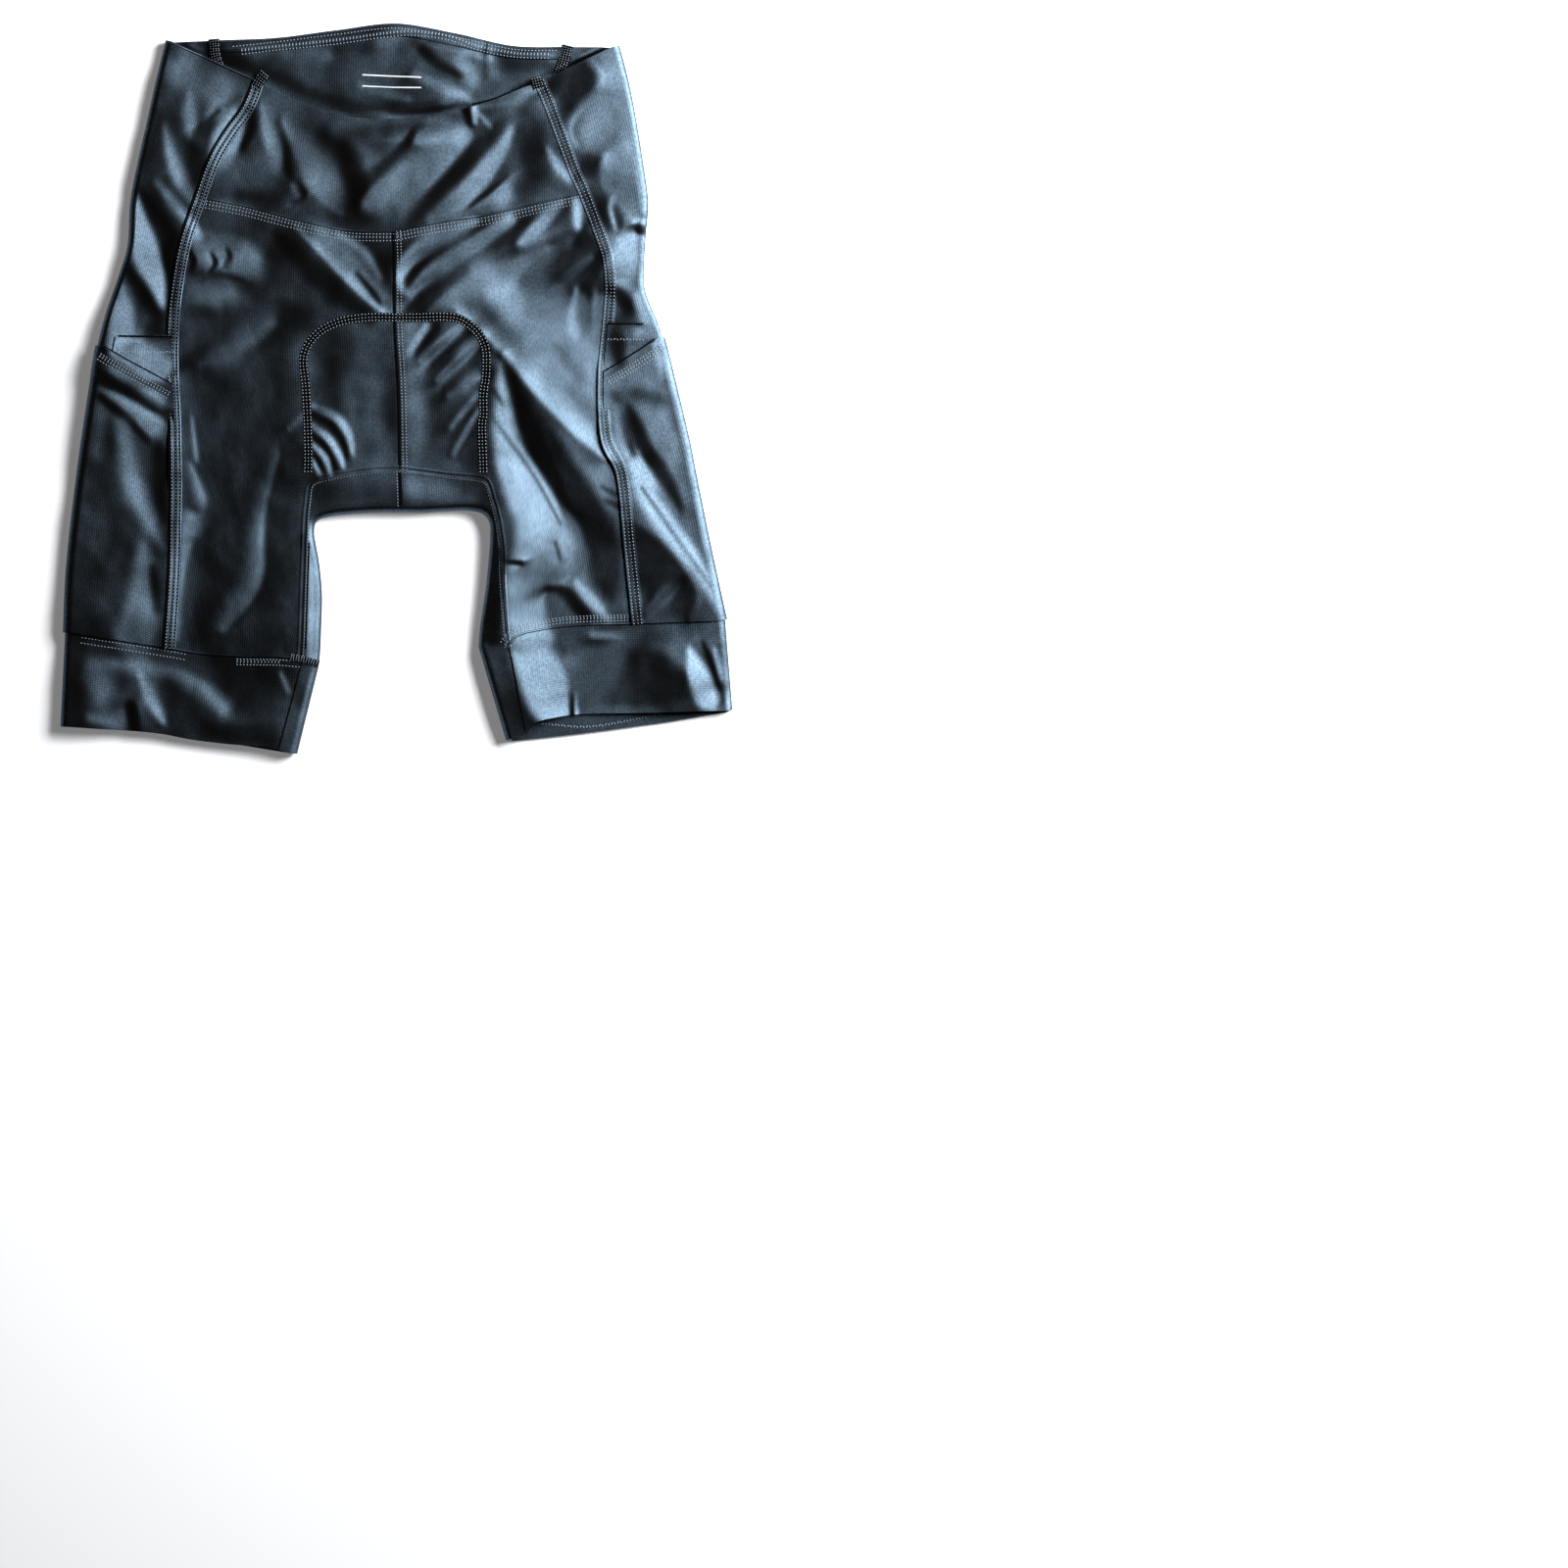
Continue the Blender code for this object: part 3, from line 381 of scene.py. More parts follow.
# The same curve in equal shares of its rows
def along(rows):
    return through(rows, np.linspace(0, len(rows) - 1, cells["row"] * (len(rows) - 1) + 1))


# A curve cut into pieces of equal length
def evenly(rows, count):
    rows = np.asarray(rows, float)
    dense = through(rows, np.linspace(0, len(rows) - 1, 60 * len(rows)))
    run = np.concatenate([[0], np.cumsum(np.linalg.norm(np.diff(dense, axis=0), axis=1))])
    wanted = np.linspace(0, run[-1], count + 1)
    return np.stack([np.interp(wanted, run, dense[:, axis]) for axis in range(dense.shape[1])], axis=1)


# The steps of a path added up
def lengthOf(points):
    return float(np.linalg.norm(np.diff(points, axis=0), axis=1).sum())


# A grid between four curves (Coons): the two ruled surfaces added, less the bilinear one
def patch(first, last, start, end):
    v = np.linspace(0, 1, len(start))[:, None, None]
    u = np.linspace(0, 1, len(first))[None, :, None]
    corners = (1 - v) * ((1 - u) * first[0] + u * first[-1]) + v * ((1 - u) * last[0] + u * last[-1])
    return (1 - v) * first + v * last + (1 - u) * start[:, None] + u * end[:, None] - corners


# 0 below 0, 1 above 1, and between them 3 v^2 - 2 v^3
def smoothStep(value):
    value = np.clip(value, 0, 1)
    return value * value * (3 - 2 * value)


# The larger of two heights, with a rounded change from one to the other
def softMax(value, floor, width):
    return floor + width * np.logaddexp(0, (value - floor) / width)


# Distance inside the pad's outline, negative outside: the corner's radius less the distance to a box
# that is smaller by this radius on all sides
def insidePad(x, y):
    overX = np.abs(x - pad["centre"][0]) - (pad["half"][0] - pad["corner"])
    overY = np.abs(y - pad["centre"][1]) - (pad["half"][1] - pad["corner"])
    outside = np.hypot(np.maximum(overX, 0), np.maximum(overY, 0))
    outside = outside + np.minimum(np.maximum(overX, overY), 0)
    return pad["corner"] - outside


gridX = np.arange(-290, 290 + solve["spacing"], solve["spacing"])
gridY = np.arange(-310, 310 + solve["spacing"], solve["spacing"])
waveX = 2 * np.pi * np.fft.fftfreq(len(gridX), solve["spacing"])[None, :]
waveY = 2 * np.pi * np.fft.fftfreq(len(gridY), solve["spacing"])[:, None]


# Lays a stroke's tilt on the field: full inside its half width, and a smooth fall over soft
def paint(field, stroke):
    tilt, soft = stroke[0], np.array(np.broadcast_to(stroke[1], 2), float) * solve["soft"]
    points = np.array(stroke[2:], float)
    points = through(points, np.linspace(0, len(points) - 1, 4 * (len(points) - 1) + 1))
    reach = points[:, 2].max() / 2 + soft.max()
    low, high = points[:, :2].min(axis=0) - reach, points[:, :2].max(axis=0) + reach
    columns = slice(*np.searchsorted(gridX, (low[0], high[0])))
    rows = slice(*np.searchsorted(gridY, (low[1], high[1])))
    x, y = np.meshgrid(gridX[columns], gridY[rows])
    cover = np.zeros_like(x)
    for (x0, y0, w0), (x1, y1, w1) in zip(points, points[1:]):
        runX, runY = x1 - x0, y1 - y0
        share = np.clip(((x - x0) * runX + (y - y0) * runY) / (runX**2 + runY**2), 0, 1)
        away = np.hypot(x - x0 - share * runX, y - y0 - share * runY)
        half = np.maximum(w0 + (w1 - w0) * share, 0) / 2
        border = np.where(runX * (y - y0) > runY * (x - x0), soft[0], soft[1])
        cover = np.maximum(cover, 1 - smoothStep((away - half + border / 2) / border))
    field[rows, columns] = field[rows, columns] * (1 - cover) + tilt * cover


# Smooth seeded noise: white noise less its waves shorter than the length (Gaussian), with a spread of 1
def unevenness(length, seed):
    noise = np.random.default_rng(seed).standard_normal((len(gridY), len(gridX)))
    smooth = np.fft.ifft2(np.fft.fft2(noise) * np.exp(-(waveX**2 + waveY**2) * length**2 / 8)).real
    return smooth / smooth.std()


# The height whose slope towards the window is the field: least squares over all waves at once, with a
# share for its roughness across and a limit on its size
def solveHeight(field):
    heading = np.radians(light["heading"])
    along = waveX * np.cos(heading) + waveY * np.sin(heading)
    across = waveY * np.cos(heading) - waveX * np.sin(heading)
    waves = 1j * along * np.fft.fft2(field) / (along**2 + solve["across"] * across**2 + solve["limit"])
    return solve["gain"] * np.fft.ifft2(waves).real


tilts = np.zeros((len(gridY), len(gridX)))
for stroke in (*wholeSlopes, *leftFolds, *rightFolds, *padFolds, *pocketFolds, *insideFolds):
    paint(tilts, stroke)
for number, (length, tilt) in enumerate(zip(waver["lengths"], waver["tilts"])):
    tilts += tilt * unevenness(length, waver["seed"] + number)
folds = solveHeight(tilts)
print("folds solved, from", round(folds.min(), 1), "to", round(folds.max(), 1), "mm")


# Value of a field at points of the plan, between its four nearest places
def sample(field, x, y):
    u = np.clip((x - gridX[0]) / solve["spacing"], 0, len(gridX) - 1.001)
    v = np.clip((y - gridY[0]) / solve["spacing"], 0, len(gridY) - 1.001)
    i, j = u.astype(int), v.astype(int)
    u, v = u - i, v - j
    return (
        field[j, i] * (1 - u) * (1 - v) + field[j, i + 1] * u * (1 - v)
        + field[j + 1, i] * (1 - u) * v + field[j + 1, i + 1] * u * v
    )


freeFace = {"half": 168, "sides": 12, "start": 0.5, "fade": 5}  # above the front's waist edge
edgeX, edgeY = np.array(((-177, 267), *frontWaistEdge, (171, 263)), float).T


# 0 below the front's waist edge, and 1 from a few millimetres above it: a smooth step, and another one
# towards the sides
def aboveFront(x, y):
    inside = smoothStep((freeFace["half"] - np.abs(x)) / freeFace["sides"])
    above = y - np.interp(x, edgeX, edgeY) - freeFace["start"]
    return inside * smoothStep(above / freeFace["fade"])


# Lower side of the garment: soft dents off the ground, and the free inner face above the front's edge
def backHeight(x, y):
    dents = 0
    for x0, y0, x1, y1, width, height in underDents:
        runX, runY = x1 - x0, y1 - y0
        length = np.hypot(runX, runY)
        share = ((x - x0) * runX + (y - y0) * runY) / length**2
        side = ((y - y0) * runX - (x - x0) * runY) / length
        dents = dents + height * (1 - smoothStep((2 * share - 1) ** 2)) * np.exp(-((side / width) ** 2))
    free = aboveFront(x, y)
    return dents * (1 - free) + free * softMax(walls["free"] + sample(folds, x, y), 0.2, 0.4)


# Upper side: the loft, the pad's rise, the folds and the lifts (Gaussian bumps) added, and never less
# than a small height over the back or over the pad
def frontHeight(x, y):
    overPad = smoothStep(insidePad(x, y) / pad["slope"])
    height = walls["loft"] + pad["rise"] * overPad + sample(folds, x, y)
    for centreX, centreY, radius, rise in lifts:
        height = height + rise * np.exp(-((x - centreX) ** 2 + (y - centreY) ** 2) / radius**2)
    least = backHeight(x, y) * (1 - aboveFront(x, y)) + walls["least"]
    return softMax(height, least + overPad * (pad["top"] + pad["cover"] - least), 0.5)


# The double sheet. Angle 90 is the front, -90 the back, and between them a rolled edge goes round
# towards its outward direction. Base is where the roll starts and ends.
class Sheet:
    def __init__(self, base, angle=90.0, outward=(0.0, 0.0)):
        shape = base.shape[:-1]
        self.base = base
        self.angle = np.broadcast_to(angle, shape)
        self.outward = np.broadcast_to(outward, shape + (2,))

    def part(self, rows=slice(None), columns=slice(None)):
        return Sheet(self.base[rows, columns], self.angle[rows, columns], self.outward[rows, columns])

    def joined(self, other):
        pairs = ((self.base, other.base), (self.angle, other.angle), (self.outward, other.outward))
        return Sheet(*(np.concatenate([mine, its[:, 1:]], axis=1) for mine, its in pairs))

    # Outer points and the direction inwards: the plan moved outwards by the angle's cosine, and the
    # height from the middle between back and front by its sine
    def points(self, lift=0.0):
        x, y = self.base[..., 0], self.base[..., 1]
        top, low = frontHeight(x, y), backHeight(x, y) + lift
        flat, rise = np.cos(np.radians(self.angle)), np.sin(np.radians(self.angle))
        plan = self.base + self.outward * walls["roll"] * flat[..., None]
        height = (top + low) / 2 + (top - low) / 2 * rise
        outer = np.concatenate([plan, height[..., None]], axis=-1)
        return outer, np.concatenate([-self.outward * flat[..., None], -rise[..., None]], axis=-1)


# Outward direction of a rolled edge: its tangent turned by 90 degrees
def edgeDirection(rows, places, turn):
    step = 1 / 400
    ahead = through(rows, np.minimum(places + step, len(rows) - 1))
    tangent = ahead - through(rows, np.maximum(places - step, 0))
    tangent /= np.linalg.norm(tangent, axis=-1, keepdims=True)
    return turn * np.stack([-tangent[..., 1], tangent[..., 0]], axis=-1)


# From a seam on the front, round a rolled edge, to a line on the back
def rolled(seam, edge, outward, back, topCells, backCells):
    column = np.arange(topCells + cells["roll"] + backCells + 1)
    over = np.clip(column / topCells, 0, 1)[:, None]
    turned = np.clip((column - topCells) / cells["roll"], 0, 1)
    under = np.clip((column - topCells - cells["roll"]) / backCells, 0, 1)[:, None]
    inner = edge - walls["roll"] * outward
    base = seam + (inner - seam) * over + (back - inner) * under
    return Sheet(base, 90 - 180 * turned, np.broadcast_to(outward, base.shape))


# Equal steps from stop to stop, each with its place and the number of steps that lead to it
def spaced(stops):
    runs = [np.linspace(a[0], b[0], round(b[1]) + 1)[1:] for a, b in zip(stops, stops[1:])]
    return np.concatenate([[stops[0][0]], *runs])


# Materials
# sRGB hex to linear colour: c / 12.92 when dark, else ((c + 0.055) / 1.055) ^ 2.4
def linear(hexColour):
    values = np.array([int(hexColour[i : i + 2], 16) for i in (1, 3, 5)]) / 255
    return (*np.where(values <= 0.04045, values / 12.92, ((values + 0.055) / 1.055) ** 2.4), 1.0)


# A node with its settings, its inputs' values, and the sockets that feed its inputs
def addNode(tree, kind, settings=(), inputs=(), links=()):
    node = tree.nodes.new(kind)
    for name, value in dict(settings).items():
        setattr(node, name, value)
    for name, value in dict(inputs).items():
        node.inputs[name].default_value = value
    for name, source in dict(links).items():
        tree.links.new(source, node.inputs[name])
    return node


# Satin knit. The fine rows of loops (drawn at twice their real pitch, which is too fine to show) give a
# soft grain, and the tinted gloss gives the steel-blue lights on a near-black cloth.
def knitMaterial(name, look):
    material = bpy.data.materials.new(name)
    material.use_nodes = True
    tree = material.node_tree
    shader = tree.nodes["Principled BSDF"]
    place = addNode(tree, "ShaderNodeUVMap", {"uv_map": "cloth"}).outputs["UV"]
    # Crossed waves of the loops' pitch: a wave of scale s repeats every 2 pi / (20 s) metres
    wales, courses = (
        addNode(
            tree, "ShaderNodeTexWave", {"bands_direction": direction},
            {"Scale": 2 * np.pi / look["pitch"] / 20, "Distortion": 0.6, "Detail": 1.0, "Detail Scale": 2.0},
            {"Vector": place},
        ).outputs["Fac"]
        for direction in ("X", "Y")
    )
    loops = addNode(tree, "ShaderNodeMath", {"operation": "MULTIPLY"}, (), {0: wales, 1: courses})
    cloud = addNode(
        tree, "ShaderNodeTexNoise", {"noise_dimensions": "2D"}, {"Scale": look["patches"], "Detail": 3.0},
        {"Vector": place},
    )
    rough = addNode(
        tree, "ShaderNodeMapRange", (),
        {"To Min": look["roughness"] - look["patchy"], "To Max": look["roughness"] + look["patchy"]},
        {"Value": cloud.outputs["Fac"]},
    )
    bump = addNode(
        tree, "ShaderNodeBump", (), {"Strength": look["grain"], "Distance": look["depth"]},
        {"Height": loops.outputs[0]},
    )
    shader.inputs["Base Color"].default_value = linear(look["colour"])
    shader.inputs["Specular IOR Level"].default_value = look["sheen"]
    shader.inputs["Roughness"].default_value = look["fibre"]
    tree.links.new(bump.outputs["Normal"], shader.inputs["Normal"])
    satin = addNode(
        tree, "ShaderNodeBsdfAnisotropic", {"distribution": "BECKMANN"}, {"Color": linear(look["tint"])},
        {"Roughness": rough.outputs["Result"], "Normal": bump.outputs["Normal"]},
    )
    yarn = addNode(
        tree, "ShaderNodeTexNoise", {"noise_dimensions": "2D"}, {"Scale": look["yarns"], "Detail": 2.0},
        {"Vector": place},
    )
    share = addNode(
        tree, "ShaderNodeMapRange", (),
        {"From Min": 0.3, "From Max": 0.7, "To Min": (1 - look["uneven"]) * look["gloss"],
         "To Max": (1 + look["uneven"]) * look["gloss"]},
        {"Value": yarn.outputs["Fac"]},
    )
    both = addNode(
        tree, "ShaderNodeMixShader", (), (),
        {0: share.outputs["Result"], 1: shader.outputs["BSDF"], 2: satin.outputs["BSDF"]},
    )
    tree.links.new(both.outputs["Shader"], tree.nodes["Material Output"].inputs["Surface"])
    return material


# One colour, with a roughness and a gloss
def plainMaterial(name, colour, roughness, gloss=0.5):
    material = bpy.data.materials.new(name)
    material.use_nodes = True
    shader = material.node_tree.nodes["Principled BSDF"]
    shader.inputs["Base Color"].default_value = linear(colour)
    shader.inputs["Roughness"].default_value = roughness
    shader.inputs["Specular IOR Level"].default_value = gloss
    return material


shellLook = {  # main knit of the panels, in metres
    "colour": "#070606", "fibre": 0.6, "sheen": 0.03,  # near-black fibres, their roughness and gloss
    "tint": "#adcde9", "gloss": 0.108, "roughness": 0.53,  # the satin face over them
    "patchy": 0.03, "patches": 55.0,  # its roughness changes in patches of 18 mm, 55 in a metre
    "uneven": 0.22, "yarns": 420.0,  # its gloss changes from yarn to yarn, every 2.4 mm
    "grain": 0.25, "depth": 0.0002, "pitch": 0.0018,  # the loops' bump, and their pitch
}
bandLook = {**shellLook, "roughness": 0.535}  # doubled, so a little duller
materials = {
    "shell_knit": knitMaterial("polyester elastane knit", shellLook),
    "band_knit": knitMaterial("doubled elastane knit", bandLook),
    "pocket_knit": knitMaterial("pocket knit", shellLook),
    "pad_foam": plainMaterial("foam faced with fleece", "#2f2f34", 0.9, 0.2),  # dull, deep grey
}
thread = plainMaterial("textured polyester thread", "#76818d", 0.6, 0.5)  # faint light dots in rows
blackThreadAndPaintedShade = plainMaterial("black polyester thread", "#040404", 0.9, 0.02)  # near-black strips: black thread at the tails, and painted shadow in seam grooves, gaps and along folded edges
paleThread = plainMaterial("pale polyester thread", "#b9bec4", 0.7)  # thin white line
print("materials made")


# A mesh object from points in millimetres, smooth but for edges sharper than an angle
def addMesh(title, vertices, faces, material, uv=None, sharp=None):
    name = title.replace(" ", "_")
    mesh = bpy.data.meshes.new(name)
    mesh.from_pydata(vertices * mm, [], faces)
    mesh.shade_smooth()
    if sharp:
        mesh.set_sharp_from_angle(angle=np.radians(sharp))
    if uv is not None:
        layer = mesh.uv_layers.new(name="cloth")
        corner = np.zeros(len(mesh.loops), np.int32)
        mesh.loops.foreach_get("vertex_index", corner)
        layer.data.foreach_set("uv", uv[corner].astype(np.float32).ravel())
    mesh.materials.append(material)
    piece = bpy.data.objects.new(name, mesh)
    bpy.context.scene.collection.objects.link(piece)
    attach(piece, "root")
    return piece


# Lengths along a grid's rows and columns, in metres, so that the knit keeps its size
def clothPlaces(points):
    across = np.linalg.norm(np.diff(points, axis=1), axis=2)
    down = np.linalg.norm(np.diff(points, axis=0), axis=2)
    u = np.concatenate([np.zeros((len(points), 1)), np.cumsum(across, axis=1)], axis=1)
    v = np.concatenate([np.zeros((1, points.shape[1])), np.cumsum(down, axis=0)], axis=0)
    return np.stack([u - u.mean(axis=1, keepdims=True), v], axis=-1) * mm


# Area of a grid: two triangles in each cell
def gridArea(points):
    a, b, c, d = points[:-1, :-1], points[:-1, 1:], points[1:, 1:], points[1:, :-1]
    twice = np.linalg.norm(np.cross(b - a, c - a), axis=-1) + np.linalg.norm(np.cross(c - a, d - a), axis=-1)
    return float(twice.sum() / 2) * mm * mm


# Faces of a closed wall: a grid's cells, the same turned over on its other side, and their border
def closedFaces(rows, columns):
    count = rows * columns
    index = np.arange(count).reshape(rows, columns)
    a, b = index[:-1, :-1].ravel(), index[:-1, 1:].ravel()
    c, d = index[1:, 1:].ravel(), index[1:, :-1].ravel()
    skin = np.stack([a, b, c, d], axis=1)
    rim = np.concatenate([index[0], index[1:, -1], index[-1, -2::-1], index[-2:0:-1, 0]])
    after = np.roll(rim, -1)
    border = np.stack([after, rim, rim + count, after + count], axis=1)
    return np.concatenate([skin, skin[:, ::-1] + count, border])


cloths = {}  # each cloth piece with its flat size, its area and what is sewn on it


# A closed wall on a grid of the double sheet, which starts outside it where another layer lies between
def wall(name, sheet, thickness, slotName, lift=0.0, outside=0.0, turned=False):
    outer, inward = sheet.points(lift)
    outside = np.broadcast_to(outside, outer.shape[:-1])[..., None]
    far = outer - inward * outside
    near = far + inward * thickness
    rows, columns = far.shape[:2]
    faces = closedFaces(rows, columns)
    if turned:
        faces = faces[:, ::-1]
    uv = clothPlaces(far).reshape(-1, 2)
    vertices = np.concatenate([far.reshape(-1, 3), near.reshape(-1, 3)])
    piece = addMesh(name, vertices, faces.tolist(), materials[slotName], np.concatenate([uv, uv]), 60)
    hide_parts(name)
    middle = (far + near) / 2
    width = max(lengthOf(row) for row in middle[:: max(1, rows // 8)]) * mm
    length = max(lengthOf(middle[:, i]) for i in range(0, columns, max(1, columns // 8))) * mm
    area = gridArea(middle)
    cloths[name] = {"piece": piece, "flat": (width, length), "area": area, "with": []}


class Half:  # one side of the garment: its tables, and turn 1 for the right, -1 for the left
    def __init__(self, name, turn, side, inner, waistSeam, backYoke, cuffSeam, hem, lines):
        fine = cells["fine"]
        self.name, self.turn, self.hem = name, turn, hem
        self.waistSeam, self.backYoke = along(waistSeam), along(backYoke)
        side, inner = np.array(side, float), np.array(inner, float)
        atSeam = spaced([(line[0], line[2] * fine) for line in lines])[:, None]
        atEdge = spaced([(line[1], line[2] * fine) for line in lines])[:, None]
        column = np.arange(cells["sideTop"] + cells["roll"] + cells["sideBack"] + 1)
        places = atSeam + (atEdge - atSeam) * np.clip(column / cells["sideTop"], 0, 1)
        self.sideSheet = rolled(
            through(side[:, 0:2], places), through(side[:, 2:4], places),
            edgeDirection(side[:, 2:4], places, turn), through(side[:, 4:6], places),
            cells["sideTop"], cells["sideBack"],
        )
        self.frontSeam, self.backSeam = self.sideSheet.base[:, 0], self.sideSheet.base[:, -1]
        crotchCells = len(self.waistSeam) - 1
        legCells = len(self.frontSeam) - 1 - cells["row"] * frontJunction
        places = spaced([(0, 0), (innerCorner, crotchCells), (len(inner) - 1, legCells)])
        self.inseam = through(inner[:, 0:2], places)
        self.innerEdge = through(inner[:, 2:4], places)
        outer = np.concatenate([self.waistSeam[:-1], self.frontSeam[cells["row"] * frontJunction :]])
        centre, cuff = evenly(centreFront, cells["front"]), evenly(cuffSeam, cells["front"])
        self.cuffSeam = cuff
        self.frontSheet = Sheet(patch(centre, cuff, self.inseam, outer))
        outer = np.concatenate([self.backYoke[:-1], self.backSeam[cells["row"] * backJunction :]])
        self.backSheet = rolled(
            self.inseam[:, None], self.innerEdge[:, None],
            edgeDirection(inner[:, 2:4], places, -turn)[:, None], outer[:, None],
            cells["strip"], cells["back"],
        )


left = Half(
    "left", -1, leftSide, leftInner, leftWaistSeam, leftBackYoke, leftCuffSeam, leftHem, leftLines
)
right = Half(
    "right", 1, rightSide, rightInner, rightWaistSeam, rightBackYoke, rightCuffSeam, rightHem, rightLines
)
layer = walls["knit"] + walls["gap"]


# The leg's last ring of points, moved to the hem by a shift that changes smoothly round the leg
def cuffSheet(half):
    lastRow = slice(-1, None)
    front, side = half.frontSheet.part(lastRow), half.sideSheet.part(lastRow)
    ring = front.joined(side).joined(half.backSheet.part(lastRow, slice(None, None, -1)))
    sideStart = cells["front"]
    sideEdge = sideStart + cells["sideTop"] + cells["roll"] / 2
    backStart = sideStart + cells["sideTop"] + cells["roll"] + cells["sideBack"]
    innerEdge = backStart + cells["back"] + cells["roll"] / 2
    last = ring.base.shape[1] - 1
    marks = (0, sideStart, sideEdge, backStart, innerEdge, last)
    shift = through(half.hem, np.interp(np.arange(last + 1), marks, np.arange(len(marks))))
    share = np.linspace(0, 1, cells["cuff"] + 1)[:, None, None]
    rows = np.zeros(cells["cuff"] + 1, int)
    return Sheet(ring.base + share * shift, ring.angle[rows], ring.outward[rows])


# Cloth pieces
for half in (left, right):
    turned = half.turn > 0
    # Below its mouth the pocket goes round under the side panel, which is lifted by a layer
    row = np.arange(len(half.frontSeam))
    start, end = pocketStart - 3 * cells["fine"], pocketStart - cells["fine"]
    lift = (layer * smoothStep((row - start) / (end - start)))[:, None]
    wall(f"side_panel_{half.name}", half.sideSheet, walls["knit"], "shell_knit", lift, turned=turned)
    wall(f"front_{half.name}", half.frontSheet, walls["knit"], "shell_knit", turned=turned)
    wall(f"back_{half.name}", half.backSheet, walls["knit"], "shell_knit", turned=not turned)
    wall(f"cuff_{half.name}", cuffSheet(half), walls["double"], "band_knit", turned=turned)
    facing = half.sideSheet.part(
        slice(facingStart, pocketStart + facingTuck + 1), slice(0, cells["facing"] + 1)
    )
    wall(f"pocket_facing_{half.name}", facing, walls["knit"], "pocket_knit", outside=layer, turned=turned)
    sheet = half.sideSheet.part(slice(pocketStart, None))
    row, column = np.arange(sheet.base.shape[0])[:, None], np.arange(sheet.base.shape[1])[None, :]
    # Its top lies over the facing, and sinks onto the panel beside it and below it in a few cells
    over = (1 - smoothStep((row - facingTuck) / 8)) * (1 - smoothStep((column - cells["facing"]) / 14))
    wall(
        f"pocket_{half.name}", sheet, walls["knit"], "pocket_knit", lift=layer,
        outside=layer + layer * over, turned=turned,
    )
last = cells["row"] * frontJunction + 1
bottom = np.concatenate([left.waistSeam[::-1], right.waistSeam[1:]])
frontBand = Sheet(patch(along(frontWaistEdge), bottom, left.frontSeam[:last], right.frontSeam[:last]))
wall("waistband_front", frontBand, walls["double"], "band_knit", turned=True)
last = cells["row"] * backJunction + 1
bottom = np.concatenate([left.backYoke[::-1], right.backYoke[1:]])
backBand = Sheet(
    patch(along(backWaistEdge), bottom, left.backSeam[:last], right.backSeam[:last]), -90.0
)
wall("waistband_back", backBand, walls["double"], "band_knit")
print("cloth pieces made")


# Foam pad between the layers: a flat base, and rings that rise from its thin edge to a flat top. Each
# ring is the outline drawn in to a share of its size
def chamoisPad():
    corner = pad["corner"] - pad["inset"]
    side = pad["half"][0] - pad["inset"]
    top = pad["centre"][1] + pad["half"][1] - pad["inset"]
    turn = np.linspace(0, np.pi / 2, 25)
    rightArc = np.column_stack([side - corner + corner * np.cos(turn), top - corner + corner * np.sin(turn)])
    outline = np.concatenate([
        rightArc, rightArc[::-1] * (-1, 1), [(-side, pad["end"]), (side, pad["end"])],
    ]) + (pad["centre"][0], 0)
    outline = np.concatenate([
        np.linspace(a, b, max(2, int(np.hypot(*(b - a)) / 4)), endpoint=False)
        for a, b in zip(outline, np.roll(outline, -1, axis=0))
    ])
    centre = np.array([pad["centre"][0], (top + pad["end"]) / 2])
    shares = np.array([1.0, 1.0, 0.97, 0.93, 0.88, 0.82, 0.75, 0.6, 0.4, 0.2])
    heights = np.array([pad["base"], 3.0, 3.4, 3.9, 4.6, 5.4, 6.0, 6.6, pad["top"], pad["top"]])
    rings = centre + (outline - centre) * shares[:, None, None]
    points = np.concatenate([rings, np.broadcast_to(heights[:, None, None], rings.shape[:2] + (1,))], axis=-1)
    count = len(outline)
    vertices = np.concatenate([points.reshape(-1, 3), [(*centre, pad["top"]), (*centre, pad["base"])]])
    ring = np.arange(count)
    after = np.roll(ring, -1)
    step = count * np.arange(len(shares))[:, None]
    low, high = step[:-1], step[1:]
    sides = np.stack([ring + low, after + low, after + high, ring + high], axis=-1).reshape(-1, 4)
    upper = np.stack([ring + step[-1], after + step[-1], np.full(count, len(vertices) - 2)], axis=1)
    lower = np.stack([after, ring, np.full(count, len(vertices) - 1)], axis=1)
    faces = [*sides.tolist(), *upper.tolist(), *lower.tolist()]
    piece = addMesh("chamois_pad", vertices, faces, materials["pad_foam"], sharp=70)
    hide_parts("chamois_pad")


chamoisPad()
print("pad made")


# Seams and stitches lie on one of three faces. This one is the front's outer face
def surface(plan):
    return np.concatenate([plan, frontHeight(plan[..., 0], plan[..., 1])[..., None]], axis=-1)


# Inner face of the back, one doubled wall above the ground side
def insideFace(plan):
    height = backHeight(plan[..., 0], plan[..., 1]) + walls["double"]
    return np.concatenate([plan, height[..., None]], axis=-1)


# Lower side, from below: strips and stitches on it are turned over
def underFace(plan):
    return np.concatenate([plan, backHeight(plan[..., 0], plan[..., 1])[..., None]], axis=-1)


# Unit directions along a path and to its left
def sideways(path):
    tangent = np.gradient(path, axis=0)
    tangent /= np.linalg.norm(tangent, axis=1, keepdims=True)
    return tangent, np.stack([-tangent[:, 1], tangent[:, 0]], axis=1)


# A value for each of so many places along a path, from one value or from several equally far apart
def spread(values, count):
    return np.interp(np.linspace(0, 1, count), np.linspace(0, 1, np.size(values)), np.ravel(values))


sewn = {"step": 1.5, "sunk": 0.5}  # length of a strip's cells, and its depth in the cloth


